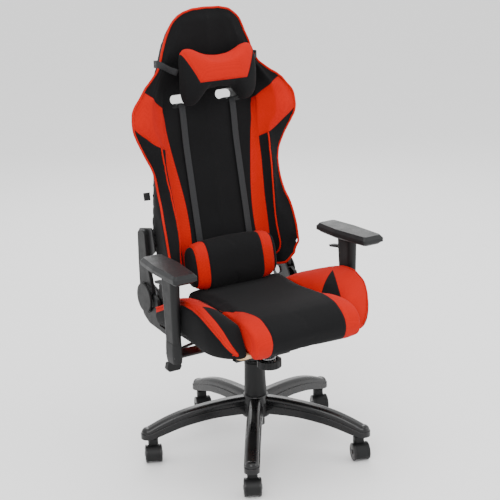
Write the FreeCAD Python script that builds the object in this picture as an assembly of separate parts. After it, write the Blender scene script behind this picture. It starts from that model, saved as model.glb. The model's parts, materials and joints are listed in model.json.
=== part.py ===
import FreeCAD, Part
import os
from math import cos, pi, radians, sin, tan

# Gaming chair. Millimetres, +Z up. The origin is on the floor under the swivel
# axis and the chair faces -Y, so the sitter's right is on the -X side.

# ---------------------------------------------------------------- driving sizes
CASTER_CIRCLE_R = 300.0
LEG_COUNT = 5
FIRST_LEG_ANGLE = -33.6
CASTER_HEADINGS = (-30.0, -17.0, -18.0, -16.0, -25.0)
WHEEL_R = 25.0
CASTER_TRAIL = 12.0
LEG_HALF_WIDTH = 21.0
HUB_TOP_Z = 158.0

SOCKET_BOTTOM_Z = 262.0
TILT_PIN_Y = 36.0
TILT_PIN_Z = 318.0
KNOB_Y = -80.0
PLATE_BOTTOM_Z = 348.0
PLATE_TOP_Z = 352.0
FRAME_BOTTOM_Z = 357.0
BOARD_BOTTOM_Z = 377.0
BOARD_TOP_Z = 387.0

SEAT_CENTRE_HALF_WIDTH = 150.0
SEAT_HALF_WIDTH = 250.0
SEAT_TOP_Z = 466.0

PIVOT_Y = 103.0
PIVOT_Z = 468.0
BACK_LEAN = 12.0
BACK_CENTRE_HALF_WIDTH = 124.0
BACK_FRONT = 20.0
BACK_REAR = 62.0
SLOT_X = 71.0
SLOT_HEIGHT = 519.0
SLOT_LENGTH = 80.0
SLOT_OPENING = 27.0
STRAP_X = 80.0
LUMBAR_PILLOW_X = -14.0

ARM_X = 279.0
ARM_Y = -60.0
ARM_BRACKET_Z = 352.0
HOUSING_BOTTOM_Z = 336.0
HOUSING_TOP_Z = 392.0
UPRIGHT_TOP_Z = 578.0
PAD_TOP_Z = 604.0

RUNNING = 0.05
SOFT_GAP = 0.4

os.makedirs("parts", exist_ok=True)

V = FreeCAD.Vector
X_AXIS = V(1, 0, 0)
Z_AXIS = V(0, 0, 1)
BACK_PLACE = FreeCAD.Placement(V(0, PIVOT_Y, PIVOT_Z), FreeCAD.Rotation(X_AXIS, -BACK_LEAN))


# ---------------------------------------------------------------- helpers
def save(node, *solids):
    """Write one node; several separate solids go in as a compound."""
    shape = solids[0] if len(solids) == 1 else Part.makeCompound(list(solids))
    shape.exportStep("parts/" + node + ".step")


def cylinder_z(r, z0, z1, x=0.0, y=0.0):
    return Part.makeCylinder(r, z1 - z0, V(x, y, z0), Z_AXIS)


def cylinder_x(r, x0, x1, y, z):
    return Part.makeCylinder(r, abs(x1 - x0), V(min(x0, x1), y, z), X_AXIS)


def ring_z(r_out, r_in, z0, z1, x=0.0, y=0.0):
    return cylinder_z(r_out, z0, z1, x, y).cut(cylinder_z(r_in, z0 - 1, z1 + 1, x, y))


def ring_x(r_out, r_in, x0, x1, y, z):
    low, high = min(x0, x1), max(x0, x1)
    return cylinder_x(r_out, low, high, y, z).cut(cylinder_x(r_in, low - 1, high + 1, y, z))


def box(x0, x1, y0, y1, z0, z1):
    return Part.makeBox(abs(x1 - x0), y1 - y0, z1 - z0, V(min(x0, x1), y0, z0))


def rounded_wire(points, radii):
    """Closed wire through points with each corner rounded by its radius."""
    count = len(points)
    arc_ends = []
    for i in range(count):
        corner = points[i]
        back = points[i - 1] - corner
        ahead = points[(i + 1) % count] - corner
        half = back.getAngle(ahead) / 2
        reach = radii[i] / tan(half) if radii[i] > 0 else 0.0
        back.normalize()
        ahead.normalize()
        bisector = back + ahead
        if radii[i] > 0:
            bisector.normalize()
            centre = corner + bisector * (radii[i] / sin(half))
            middle = centre - bisector * radii[i]
        else:
            middle = corner
        arc_ends.append((corner + back * reach, middle, corner + ahead * reach))
    edges = []
    for i in range(count):
        start, middle, end = arc_ends[i]
        if radii[i] > 0:
            edges.append(Part.Arc(start, middle, end).toShape())
        following = arc_ends[(i + 1) % count][0]
        if end.distanceToPoint(following) > 1e-6:
            edges.append(Part.LineSegment(end, following).toShape())
    return Part.Wire(edges)


def plate_yz(outline, x0, x1, radius=0.0):
    """Plate whose outline is (y, z) points, between two X positions."""
    low, high = min(x0, x1), max(x0, x1)
    radii = [radius] * len(outline) if isinstance(radius, float) else radius
    wire = rounded_wire([V(low, y, z) for y, z in outline], radii)
    return Part.Face(wire).extrude(V(high - low, 0, 0))


def plate_xy(outline, z0, z1, radius=0.0):
    """Plate whose outline is (x, y) points, between two heights."""
    radii = [radius] * len(outline) if isinstance(radius, float) else radius
    wire = rounded_wire([V(x, y, z0) for x, y in outline], radii)
    return Part.Face(wire).extrude(V(0, 0, z1 - z0))


def plate_xz(outline, y0, y1, radius=0.0):
    """Plate whose outline is (x, z) points, between two Y positions."""
    radii = [radius] * len(outline) if isinstance(radius, float) else radius
    wire = rounded_wire([V(x, y0, z) for x, z in outline], radii)
    return Part.Face(wire).extrude(V(0, y1 - y0, 0))


def mirror_x(shape):
    return shape.mirror(V(0, 0, 0), X_AXIS)


def both_sides(shape):
    """The shape and its mirror image across the chair's middle plane."""
    return [shape, mirror_x(shape)]


def fuse_all(shapes):
    return shapes[0].multiFuse(shapes[1:]).removeSplitter()


def in_back(shape):
    """Move a shape from the back's own frame (+X across, +Y rearward, +Z up
    the back, origin on the recline axis) to its leaning place."""
    placed = shape.copy()
    placed.Placement = BACK_PLACE.multiply(placed.Placement)
    return placed


def bent_rod(points, r, bend_r):
    """Round rod along straight runs joined by arcs of one bend radius."""
    edges = []
    start = points[0]
    for i in range(1, len(points) - 1):
        back = points[i - 1] - points[i]
        ahead = points[i + 1] - points[i]
        half = back.getAngle(ahead) / 2
        back.normalize()
        ahead.normalize()
        reach = bend_r / tan(half)
        bisector = back + ahead
        bisector.normalize()
        centre = points[i] + bisector * (bend_r / sin(half))
        arc_start = points[i] + back * reach
        arc_end = points[i] + ahead * reach
        edges.append(Part.LineSegment(start, arc_start).toShape())
        edges.append(Part.Arc(arc_start, centre - bisector * bend_r, arc_end).toShape())
        start = arc_end
    edges.append(Part.LineSegment(start, points[-1]).toShape())
    path = Part.Wire(edges)
    profile = Part.Wire(Part.Circle(points[0], points[1] - points[0], r).toShape())
    return path.makePipeShell([profile], True, False)


def hex_bolt_z(x, y, z_head, z_end, r, head_h):
    """Bolt standing on Z: hexagon head at z_head, shank up to z_end."""
    across = 1.8 * r
    hexagon = [V(x + across * cos(k * pi / 3), y + across * sin(k * pi / 3), z_head) for k in range(6)]
    head = Part.Face(Part.makePolygon(hexagon + [hexagon[0]])).extrude(V(0, 0, head_h))
    return head.fuse(cylinder_z(r, z_head + head_h, z_end, x, y)).removeSplitter()


def leg_angle(index):
    return FIRST_LEG_ANGLE + index * 360.0 / LEG_COUNT


def turned_out(shape, angle):
    """Turn a shape built along -Y so that it points along a leg's angle."""
    turned = shape.copy()
    turned.rotate(V(0, 0, 0), Z_AXIS, angle)
    return turned


def caster_place(index):
    angle = radians(leg_angle(index))
    return V(CASTER_CIRCLE_R * sin(angle), -CASTER_CIRCLE_R * cos(angle), 0)


# ---------------------------------------------------------------- star base
# Stations along a leg: (radius, top, underside).
LEG_STATIONS = (
    (24.0, 155.0, 108.0),
    (80.0, 153.5, 108.0),
    (130.0, 149.0, 107.0),
    (180.0, 142.0, 101.0),
    (230.0, 131.0, 91.0),
    (280.0, 113.5, 76.0),
    (312.0, 99.0, 69.0),
)
LEG_STEP = 2.5
LEG_TIP_R = 312.0


def leg_section(radius, top, low, half_width, corner):
    """Upright inverted-U section of a leg at one radius."""
    points = [
        V(-half_width, -radius, low),
        V(half_width, -radius, low),
        V(half_width, -radius, top),
        V(-half_width, -radius, top),
    ]
    return rounded_wire(points, [0.0, 0.0, corner, corner])


def leg_loft(half_width, corner, top_share, drop):
    """Loft along the leg; top_share places its top between underside and top."""
    wires = []
    for radius, top, low in LEG_STATIONS:
        height = low + (top - low) * top_share
        wires.append(leg_section(radius, height, low - drop, half_width, corner))
    return Part.makeLoft(wires, True, False)


def leg_nose():
    """Rounded end of a leg, turned about the caster side of its tip."""
    top, low = LEG_STATIONS[-1][1:]
    middle = low + (top - low) * 0.52
    nose = []
    for half_width, high, corner in ((LEG_HALF_WIDTH, middle, 2.0), (LEG_HALF_WIDTH - LEG_STEP, top, 13.0)):
        points = [V(0, 0, low), V(half_width, 0, low), V(half_width, 0, high), V(0, 0, high)]
        profile = Part.Face(rounded_wire(points, [0.0, 0.0, corner, 0.0]))
        nose.append(profile.revolve(V(0, 0, 0), Z_AXIS, 360))
    shape = nose[0].fuse(nose[1])
    shape.translate(V(0, -LEG_TIP_R, 0))
    return shape


def star_base():
    wide = leg_loft(LEG_HALF_WIDTH, 2.0, 0.52, 0.0)
    narrow = leg_loft(LEG_HALF_WIDTH - LEG_STEP, 13.0, 1.0, 0.0)
    leg = wide.fuse(narrow).fuse(leg_nose())
    channel = leg_loft(LEG_HALF_WIDTH - 5.5, 10.0, 0.88, 6.0)
    keep_tip = box(-60, 60, -400, -CASTER_CIRCLE_R + 14, 0, 200)
    keep_hub = box(-60, 60, -44, 60, 0, 200)
    leg = leg.cut(channel.cut(keep_tip).cut(keep_hub))
    leg = leg.cut(cylinder_z(8.0, 0, 88, 0, -CASTER_CIRCLE_R))
    profile = [(0, 96), (40, 96), (43, 102), (43, 140), (34, HUB_TOP_Z), (0, HUB_TOP_Z)]
    hub_wire = rounded_wire([V(r, 0, z) for r, z in profile], [0, 3, 3, 8, 2, 0])
    hub = Part.Face(hub_wire).revolve(V(0, 0, 0), Z_AXIS, 360)
    legs = [turned_out(leg, leg_angle(i)) for i in range(LEG_COUNT)]
    body = hub.multiFuse(legs)
    return body.cut(cylinder_z(24.0, 60, 200)).removeSplitter()


save("star_base", star_base())


# ---------------------------------------------------------------- casters
def caster_socket(place):
    sleeve = ring_z(7.95, 5.6, 68.5, 87.5)
    flange = ring_z(11.0, 5.6, 67.0, 69.0)
    socket = sleeve.fuse(flange).removeSplitter()
    socket.translate(place)
    return socket


STEM_R = 5.5
AXLE_R = 3.0
HOOD_HALF_WIDTH = 17.0
HOOD_BOTTOM_Z = 8.5
WHEEL_HALF_WIDTH = 25.5
NECK_TOP_Z = 66.0


def caster_hood():
    """Hood, neck and centre web of a twin-wheel caster, trailing along -Y."""
    hood = cylinder_x(WHEEL_R - 0.6, -HOOD_HALF_WIDTH, HOOD_HALF_WIDTH, -CASTER_TRAIL, WHEEL_R)
    cavity = cylinder_x(WHEEL_R - 3.0, -HOOD_HALF_WIDTH - 1, HOOD_HALF_WIDTH + 1, -CASTER_TRAIL, WHEEL_R)
    web = cylinder_x(WHEEL_R - 2.0, -3.0, 3.0, -CASTER_TRAIL, WHEEL_R)
    neck_outline = [(-14, -6), (-10, -13), (10, -13), (14, -6), (14, 8), (9, 13), (-9, 13), (-14, 8)]
    neck = plate_xy(neck_outline, WHEEL_R + 8, NECK_TOP_Z, 2.5)
    neck = neck.cut(cavity)
    hood = hood.cut(cavity).fuse(web).fuse(neck)
    hood = hood.cut(box(-30, 30, -60, 40, -1, HOOD_BOTTOM_Z))
    hood = hood.cut(cylinder_x(AXLE_R + RUNNING, -4, 4, -CASTER_TRAIL, WHEEL_R))
    hood = hood.cut(cylinder_z(STEM_R, 52, 70))
    return hood.removeSplitter()


def caster_stem():
    stem = cylinder_z(STEM_R - RUNNING, 52, 86)
    collar = cylinder_z(9.0, NECK_TOP_Z, NECK_TOP_Z + 0.7)
    return stem.fuse(collar).removeSplitter()


def caster_wheel(side):
    """One wheel: domed outer disc, tread and an inner drum under the hood."""
    inner = HOOD_HALF_WIDTH + 0.5
    outline = [
        V(inner, 0, 0),
        V(WHEEL_HALF_WIDTH, 0, 0),
        V(WHEEL_HALF_WIDTH - 0.5, 0, 14),
        V(WHEEL_HALF_WIDTH - 3.0, 0, WHEEL_R),
        V(inner, 0, WHEEL_R),
    ]
    disc = Part.Face(rounded_wire(outline, [0.0, 0.0, 6.0, 2.0, 0.6])).revolve(V(0, 0, 0), X_AXIS, 360)
    drum = cylinder_x(WHEEL_R - 4.0, 4.0, inner, 0, 0)
    hollow = ring_x(WHEEL_R - 6.5, 8.0, 3.0, inner - 1.0, 0, 0)
    dish = ring_x(17.0, 7.0, WHEEL_HALF_WIDTH - 2.0, WHEEL_HALF_WIDTH + 1.0, 0, 0)
    wheel = disc.fuse(drum).cut(hollow).cut(dish).cut(cylinder_x(AXLE_R, 0, 12, 0, 0))
    wheel.translate(V(0, -CASTER_TRAIL, WHEEL_R))
    return wheel.removeSplitter() if side > 0 else mirror_x(wheel.removeSplitter())


def caster_axle():
    return cylinder_x(AXLE_R, -12, 12, -CASTER_TRAIL, WHEEL_R)


def place_caster(shape, index):
    placed = turned_out(shape, CASTER_HEADINGS[index])
    placed.translate(caster_place(index))
    return placed


save("caster_sockets", *[caster_socket(caster_place(i)) for i in range(LEG_COUNT)])
for i in range(LEG_COUNT):
    hood_parts = [place_caster(shape, i) for shape in (caster_hood(), caster_stem())]
    wheel_shapes = (caster_wheel(1), caster_wheel(-1), caster_axle())
    wheel_parts = [place_caster(shape, i) for shape in wheel_shapes]
    save("caster_%d_hood" % (i + 1), *hood_parts)
    save("caster_%d_wheels" % (i + 1), *wheel_parts)


# ---------------------------------------------------------------- gas lift
BASE_TUBE_R = 23.95
BASE_TUBE_TOP_Z = 250.0
GAS_CYLINDER_R = 14.0
GAS_CYLINDER_BOTTOM_Z = 92.0
GAS_CYLINDER_TOP_Z = 300.0
GAS_ROD_R = 5.0
BUTTON_R = 4.0


def gas_base_tube():
    lower = cylinder_z(BASE_TUBE_R, 66, 160)
    upper = cylinder_z(22.2, 160, BASE_TUBE_TOP_Z)
    bore = cylinder_z(20.0, 69, BASE_TUBE_TOP_Z + 1)
    floor_hole = cylinder_z(GAS_ROD_R + 1.0, 60, 70)
    return lower.fuse(upper).cut(bore).cut(floor_hole).removeSplitter()


def gas_cylinder():
    body = cylinder_z(GAS_CYLINDER_R, GAS_CYLINDER_BOTTOM_Z, GAS_CYLINDER_TOP_Z)
    chamber = cylinder_z(12.0, GAS_CYLINDER_BOTTOM_Z + 12, GAS_CYLINDER_TOP_Z - 14)
    rod_bore = cylinder_z(GAS_ROD_R + RUNNING, GAS_CYLINDER_BOTTOM_Z - 1, GAS_CYLINDER_BOTTOM_Z + 13)
    button_bore = cylinder_z(BUTTON_R + RUNNING, GAS_CYLINDER_TOP_Z - 15, GAS_CYLINDER_TOP_Z + 1)
    return body.cut(chamber).cut(rod_bore).cut(button_bore)


def tapered_sleeve(r_low, r_high, wall, z0, z1):
    """Tapered telescopic cover sleeve."""
    outside = Part.makeCone(r_low, r_high, z1 - z0, V(0, 0, z0), Z_AXIS)
    inside = Part.makeCone(r_low - wall, r_high - wall, z1 - z0, V(0, 0, z0), Z_AXIS)
    return outside.cut(inside)


def cover_upper_sleeve():
    lip = ring_z(23.8, GAS_CYLINDER_R + 0.1, 258.0, 260.0)
    return ring_z(24.3, 23.3, 176.0, 260.0).fuse(lip).removeSplitter()


def cover_lower_sleeve():
    body = tapered_sleeve(31.5, 28.2, 1.6, HUB_TOP_Z + 0.5, 254.0)
    rim = ring_z(28.9, 26.7, 249.0, 254.0)
    return body.fuse(rim).removeSplitter()


thrust_bearing = ring_z(15.0, GAS_ROD_R + 0.1, 69.0, 76.0)
rod_flange = cylinder_z(12.0, 76.1, 79.0)
piston_rod = cylinder_z(GAS_ROD_R, 58, 250).fuse(rod_flange).removeSplitter()
piston = cylinder_z(11.9, 250, 260)
retaining_clip = ring_z(9.0, GAS_ROD_R, 62.0, 64.0)

save("gas_base_tube", gas_base_tube())
save("gas_guide_bush", ring_z(19.95, GAS_CYLINDER_R + RUNNING, 165, 246))
save("gas_thrust_bearing", thrust_bearing)
save("gas_piston_rod", piston_rod, piston)
save("gas_retaining_clip", retaining_clip)
save("gas_cylinder", gas_cylinder())
save("gas_release_button", cylinder_z(BUTTON_R, 290, 317.4))
save("cover_lower_sleeve", cover_lower_sleeve())
save("cover_middle_sleeve", ring_z(26.0, 25.0, 170.0, 257.0))
save("cover_upper_sleeve", cover_upper_sleeve())


# ---------------------------------------------------------------- mechanism
HOUSING_HALF_X = 45.0
HOUSING_WALL = 3.0
HOUSING_FLOOR_Z = 306.0
HOUSING_WALL_TOP_Z = 339.0
HOUSING_FRONT_Y = -116.0
HOUSING_REAR_Y = 58.0
PIN_R = 6.0
LEVER_Z = 322.0
LEVER_Y = 0.0
LEVER_R = 4.0
BOLT_R = 5.0


def mechanism_housing():
    """Folded steel channel with the taper socket of the gas cylinder."""
    outer = box(
        -HOUSING_HALF_X,
        HOUSING_HALF_X,
        HOUSING_FRONT_Y,
        HOUSING_REAR_Y,
        HOUSING_FLOOR_Z,
        HOUSING_WALL_TOP_Z,
    )
    inner_x = HOUSING_HALF_X - HOUSING_WALL
    inner = box(
        -inner_x,
        inner_x,
        HOUSING_FRONT_Y + HOUSING_WALL,
        HOUSING_REAR_Y + 1,
        HOUSING_FLOOR_Z + HOUSING_WALL,
        HOUSING_WALL_TOP_Z + 1,
    )
    socket = cylinder_z(20.5, SOCKET_BOTTOM_Z, 312)
    body = outer.cut(inner).fuse(socket)
    body = body.cut(cylinder_z(GAS_CYLINDER_R + 0.02, 250, 320))
    body = body.cut(cylinder_x(PIN_R, -60, 60, TILT_PIN_Y, TILT_PIN_Z))
    body = body.cut(cylinder_x(LEVER_R + 0.5, -60, -30, LEVER_Y, LEVER_Z))
    bolt_slot = plate_xy([(-8, -98), (8, -98), (8, -70), (-8, -70)], 300, 312, 7.5)
    return body.cut(bolt_slot).removeSplitter()


def mechanism_top_plate():
    """Seat plate that rocks on the tilt pin by two hanging lugs."""
    corners = [(-95, -118), (95, -118), (95, 100), (-95, 100)]
    plate = plate_xy(corners, PLATE_BOTTOM_Z, PLATE_TOP_Z, 12.0)
    lug_outline = [
        (TILT_PIN_Y - 9, TILT_PIN_Z - 8.3),
        (TILT_PIN_Y + 9, TILT_PIN_Z - 8.3),
        (TILT_PIN_Y + 18, PLATE_BOTTOM_Z + 1),
        (TILT_PIN_Y - 18, PLATE_BOTTOM_Z + 1),
    ]
    lug = plate_yz(lug_outline, 36.0, 40.0, [8.0, 8.0, 0.0, 0.0])
    body = fuse_all([plate] + both_sides(lug))
    body = body.cut(cylinder_x(PIN_R + RUNNING, -60, 60, TILT_PIN_Y, TILT_PIN_Z))
    return body.cut(cylinder_z(BOLT_R, 340, 360, 0, KNOB_Y))


def tilt_spring():
    """Compression spring around the tension bolt, under the channel floor."""
    wire_r = 2.5
    coil_r = 16.0
    low = 273.0
    height = 30.4
    turns = 3.0
    helix = Part.makeHelix(height / turns, height, coil_r)
    start = V(coil_r, 0, 0)
    direction = V(0, 2 * pi * coil_r, height / turns)
    profile = Part.Wire(Part.Circle(start, direction, wire_r).toShape())
    spring = Part.Wire(helix).makePipeShell([profile], True, True)
    spring.translate(V(0, KNOB_Y, low - 0.4))
    return spring


def tension_knob():
    """Fluted cup under the channel that loads the tilt spring."""
    cup = cylinder_z(34.0, 264.0, 285.0, 0, KNOB_Y)
    hollow = cylinder_z(24.0, 270.0, 286.0, 0, KNOB_Y)
    boss = cylinder_z(10.0, 262.0, 271.0, 0, KNOB_Y)
    cup = cup.makeFillet(3.0, [e for e in cup.Edges if e.BoundBox.ZMax < 264.1 and e.BoundBox.XLength > 60])
    knob = cup.cut(hollow).fuse(boss)
    flutes = 12
    for k in range(flutes):
        angle = 2 * pi * k / flutes
        groove = cylinder_z(5.0, 260, 292, 37.0 * cos(angle), KNOB_Y + 37.0 * sin(angle))
        knob = knob.cut(groove)
    return knob.cut(cylinder_z(BOLT_R + RUNNING, 255, 290, 0, KNOB_Y)).removeSplitter()


tilt_pin = cylinder_x(PIN_R, -50, 50, TILT_PIN_Y, TILT_PIN_Z)
pin_heads = [cylinder_x(9.0, side * 45.0, side * 48.0, TILT_PIN_Y, TILT_PIN_Z) for side in (-1, 1)]
tension_bolt = cylinder_z(BOLT_R, 258.0, 353.0, 0, KNOB_Y)
tension_nut = cylinder_z(9.0, 255.0, 261.5, 0, KNOB_Y)
bolt_head = cylinder_z(9.0, PLATE_TOP_Z, PLATE_TOP_Z + 4, 0, KNOB_Y)

save("mechanism_housing", mechanism_housing())
save("tilt_pin", fuse_all([tilt_pin] + pin_heads))
save("tilt_spring", tilt_spring())
save("tension_knob", tension_knob())
save("tension_bolt", fuse_all([tension_bolt, tension_nut, bolt_head]))

# The height lever passes through the channel wall, which is its fulcrum.
lever_points = [(10, LEVER_Z), (-105, LEVER_Z), (-180, 352), (-226, 344), (-253, 305)]
lever_route = [V(x, LEVER_Y, z) for x, z in lever_points]
LEVER_BEND_R = 16.0
save("height_lever_rod", bent_rod(lever_route, LEVER_R, LEVER_BEND_R))
grip_outline = [(-276, 296), (-270, 287), (-238, 287), (-232, 296), (-236, 312), (-272, 312)]
lever_grip = plate_xz(grip_outline, -8, 8, 4.0)
save("height_lever_grip", lever_grip.cut(bent_rod(lever_route, LEVER_R + 0.02, LEVER_BEND_R)))


# ---------------------------------------------------------------- seat frame
FRAME_TUBE = 20.0
FRAME_RAIL_X = 65.0
FRAME_HALF_X = 178.0
FRAME_FRONT_Y = -200.0
FRAME_REAR_Y = 85.0


def square_tube_x(x0, x1, y, z0):
    outer = box(x0, x1, y - FRAME_TUBE / 2, y + FRAME_TUBE / 2, z0, z0 + FRAME_TUBE)
    inner = box(x0 - 1, x1 + 1, y - FRAME_TUBE / 2 + 2, y + FRAME_TUBE / 2 - 2, z0 + 2, z0 + FRAME_TUBE - 2)
    return outer.cut(inner)


def seat_frame():
    ends = (FRAME_FRONT_Y, FRAME_REAR_Y)
    shapes = [square_tube_x(-FRAME_HALF_X, FRAME_HALF_X, y, FRAME_BOTTOM_Z) for y in ends]
    for side in (-1, 1):
        x = side * FRAME_RAIL_X
        y0 = FRAME_FRONT_Y + FRAME_TUBE / 2 - 0.5
        y1 = FRAME_REAR_Y - FRAME_TUBE / 2 + 0.5
        rail = box(x - 10, x + 10, y0, y1, FRAME_BOTTOM_Z, FRAME_BOTTOM_Z + FRAME_TUBE)
        core = box(x - 8, x + 8, y0 + 2, y1 - 2, FRAME_BOTTOM_Z + 2, FRAME_BOTTOM_Z + FRAME_TUBE - 2)
        shapes.append(rail.cut(core))
        shapes.append(box(x - 10, x + 10, 60, 76, PLATE_TOP_Z, FRAME_BOTTOM_Z + 0.5))
    return fuse_all(shapes)


def seat_bolts():
    """Bolts from the seat plate and armrest brackets up into the frame."""
    bolts = []
    for side in (-1, 1):
        x = side * FRAME_RAIL_X
        for y in (-74, -46, 68):
            bolts.append(hex_bolt_z(x, y, PLATE_BOTTOM_Z - 5, FRAME_BOTTOM_Z + 1.5, 4.0, 5.0))
    return bolts


def with_bolt_holes(shape, positions, z0, z1, r=4.0):
    for x, y in positions:
        shape = shape.cut(cylinder_z(r, z0, z1, x, y))
    return shape


PLATE_BOLT_HOLES = [(side * FRAME_RAIL_X, y) for side in (-1, 1) for y in (-74, -46, 68)]
save("seat_frame", with_bolt_holes(seat_frame(), PLATE_BOLT_HOLES, 350, 359))
top_plate = with_bolt_holes(mechanism_top_plate(), PLATE_BOLT_HOLES, 340, 353)
save("mechanism_top_plate", top_plate)
save("seat_bolts", *seat_bolts())
board_outline = [(-188, -248), (188, -248), (205, -150), (205, 98), (-205, 98), (-205, -150)]
seat_board = plate_xy(board_outline, BOARD_BOTTOM_Z, BOARD_TOP_Z, 14.0)
save("seat_base_board", seat_board)


# ---------------------------------------------------------------- armrests
def armrest_bracket():
    """Flat steel arm from the seat plate out to the right armrest post."""
    strap = box(-ARM_X - 12, -52, ARM_Y - 25, ARM_Y + 25, ARM_BRACKET_Z, ARM_BRACKET_Z + 5)
    holes = [(x, y) for x, y in PLATE_BOLT_HOLES if x < 0 and y < 0]
    return with_bolt_holes(strap, holes, 350, 360)


def armrest_post():
    """Steel bar that stands on the bracket inside the housing and upright."""
    return box(-ARM_X - 3, -ARM_X + 3, ARM_Y - 15, ARM_Y + 15, ARM_BRACKET_Z + 5, 562)


def oval_wire(half_x, half_y, z, x, y):
    """Oval outline with flat long sides and round ends."""
    end = half_y - half_x
    a = V(x - half_x, y - end, z)
    b = V(x, y - half_y, z)
    c = V(x + half_x, y - end, z)
    d = V(x + half_x, y + end, z)
    e = V(x, y + half_y, z)
    f = V(x - half_x, y + end, z)
    return Part.Wire([
        Part.Arc(a, b, c).toShape(),
        Part.LineSegment(c, d).toShape(),
        Part.Arc(d, e, f).toShape(),
        Part.LineSegment(f, a).toShape(),
    ])


def oval_loft(sizes, x, y):
    """Loft through ovals given as (half_x, half_y, z)."""
    return Part.makeLoft([oval_wire(hx, hy, z, x, y) for hx, hy, z in sizes], True, False)


def armrest_housing():
    """Fixed lower sleeve around the bracket end and the foot of the post."""
    sizes = [(12.5, 27, HOUSING_BOTTOM_Z), (14, 29.5, 350), (14, 29.5, 380), (13, 29, HOUSING_TOP_Z)]
    body = oval_loft(sizes, -ARM_X, ARM_Y)
    post_slot = box(-ARM_X - 3.1, -ARM_X + 3.1, ARM_Y - 15.1, ARM_Y + 15.1, ARM_BRACKET_Z - 0.1, 400)
    low = ARM_BRACKET_Z - 0.1
    high = ARM_BRACKET_Z + 5.1
    arm_slot = box(-ARM_X - 12.1, -ARM_X + 30, ARM_Y - 25.1, ARM_Y + 25.1, low, high)
    return body.cut(post_slot).cut(arm_slot)


TRIGGER_Z = 545.0
TRIGGER_HINGE_Y = ARM_Y + 26


def armrest_upright():
    """Hollow upright that slides on the post and carries the pad."""
    low = HOUSING_TOP_Z + 0.5
    sizes = [(12.5, 29, low), (13, 30.5, 470), (14, 34, 550), (14, 35, UPRIGHT_TOP_Z)]
    body = oval_loft(sizes, -ARM_X, ARM_Y)
    bore = box(-ARM_X - 3.4, -ARM_X + 3.4, ARM_Y - 15.4, ARM_Y + 15.4, low - 1, 563)
    window = box(-ARM_X - 8, -ARM_X + 8, ARM_Y + 18, ARM_Y + 40, TRIGGER_Z - 12, TRIGGER_Z + 14)
    hinge_bore = cylinder_x(2.0, -ARM_X - 11, -ARM_X + 11, TRIGGER_HINGE_Y, TRIGGER_Z)
    return body.cut(bore).cut(window).cut(hinge_bore)


def trigger_pin():
    return cylinder_x(2.0, -ARM_X - 11, -ARM_X + 11, TRIGGER_HINGE_Y, TRIGGER_Z)


def armrest_trigger():
    """Paddle that is squeezed up to release the armrest's height."""
    outline = [
        (TRIGGER_HINGE_Y - 5, TRIGGER_Z - 4),
        (TRIGGER_HINGE_Y + 12, TRIGGER_Z - 4),
        (TRIGGER_HINGE_Y + 50, TRIGGER_Z - 10),
        (TRIGGER_HINGE_Y + 56, TRIGGER_Z - 5),
        (TRIGGER_HINGE_Y + 50, TRIGGER_Z - 3),
        (TRIGGER_HINGE_Y + 12, TRIGGER_Z + 4),
        (TRIGGER_HINGE_Y - 5, TRIGGER_Z + 4),
    ]
    paddle = plate_yz(outline, -ARM_X - 7, -ARM_X + 7, [3.0, 2.0, 2.0, 1.5, 1.0, 2.0, 3.0])
    return paddle.cut(cylinder_x(2.0 + RUNNING, -ARM_X - 12, -ARM_X + 12, TRIGGER_HINGE_Y, TRIGGER_Z))


def pad_outline(grow, z):
    """Pad outline; the front is toed outward and the middle is the widest."""
    points = [
        (33, 50, 0.0),
        (40, -46, 4.0),
        (34, -172, 12.0),
    ]
    right = [V(-ARM_X - toe - half - grow, y, z) for half, y, toe in points]
    left = [V(-ARM_X - toe + half + grow, y, z) for half, y, toe in points]
    right[0].y += grow
    left[0].y += grow
    right[2].y -= grow
    left[2].y -= grow
    return rounded_wire(right + left[::-1], [9.0, 60.0, 9.0, 9.0, 60.0, 9.0])


def armrest_pad():
    """Polyurethane pad with a bevel round its top face."""
    side = Part.Face(pad_outline(0.0, 585.0)).extrude(V(0, 0, 10))
    bevel = Part.makeLoft([pad_outline(0.0, 595.0), pad_outline(-7.0, PAD_TOP_Z)], True, True)
    return side.fuse(bevel).removeSplitter()


def armrest_tray():
    tray = Part.makeLoft([pad_outline(-9.0, UPRIGHT_TOP_Z), pad_outline(-2.0, 585.0)], True, True)
    return tray


save("armrest_brackets", *both_sides(armrest_bracket()))
save("armrest_posts", *both_sides(armrest_post()))
save("armrest_housings", *both_sides(armrest_housing()))
for name, place in (("right", lambda s: s), ("left", mirror_x)):
    save("armrest_upright_" + name, place(armrest_upright()), place(trigger_pin()))
    save("armrest_trigger_" + name, place(armrest_trigger()))
    save("armrest_pad_" + name, place(armrest_tray()), place(armrest_pad()))


# ---------------------------------------------------------------- recliner
RECLINE_Y = 190.0
RECLINE_Z = 438.0
RECLINE_PLACE = FreeCAD.Placement(V(0, RECLINE_Y, RECLINE_Z), FreeCAD.Rotation(X_AXIS, -BACK_LEAN))
SEAT_PLATE_X = 206.0
RECLINER_PLATE = 4.0
BACK_PLATE_X = 215.0
DISC_R = 32.0
PIVOT_PIN_R = 8.0
COVER_FACE_X = 230.0
LEVER_PIN_Y = 131.0
LEVER_PIN_Z = 408.0
LEVER_PIN_R = 4.0
UPPER_COVER_R = 42.0
LOWER_COVER_R = UPPER_COVER_R + 1.5


def on_recline_axis(shape):
    """Move a shape from the recline axis's own frame (+Z up the back) to its place."""
    placed = shape.copy()
    placed.Placement = RECLINE_PLACE.multiply(placed.Placement)
    return placed


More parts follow.
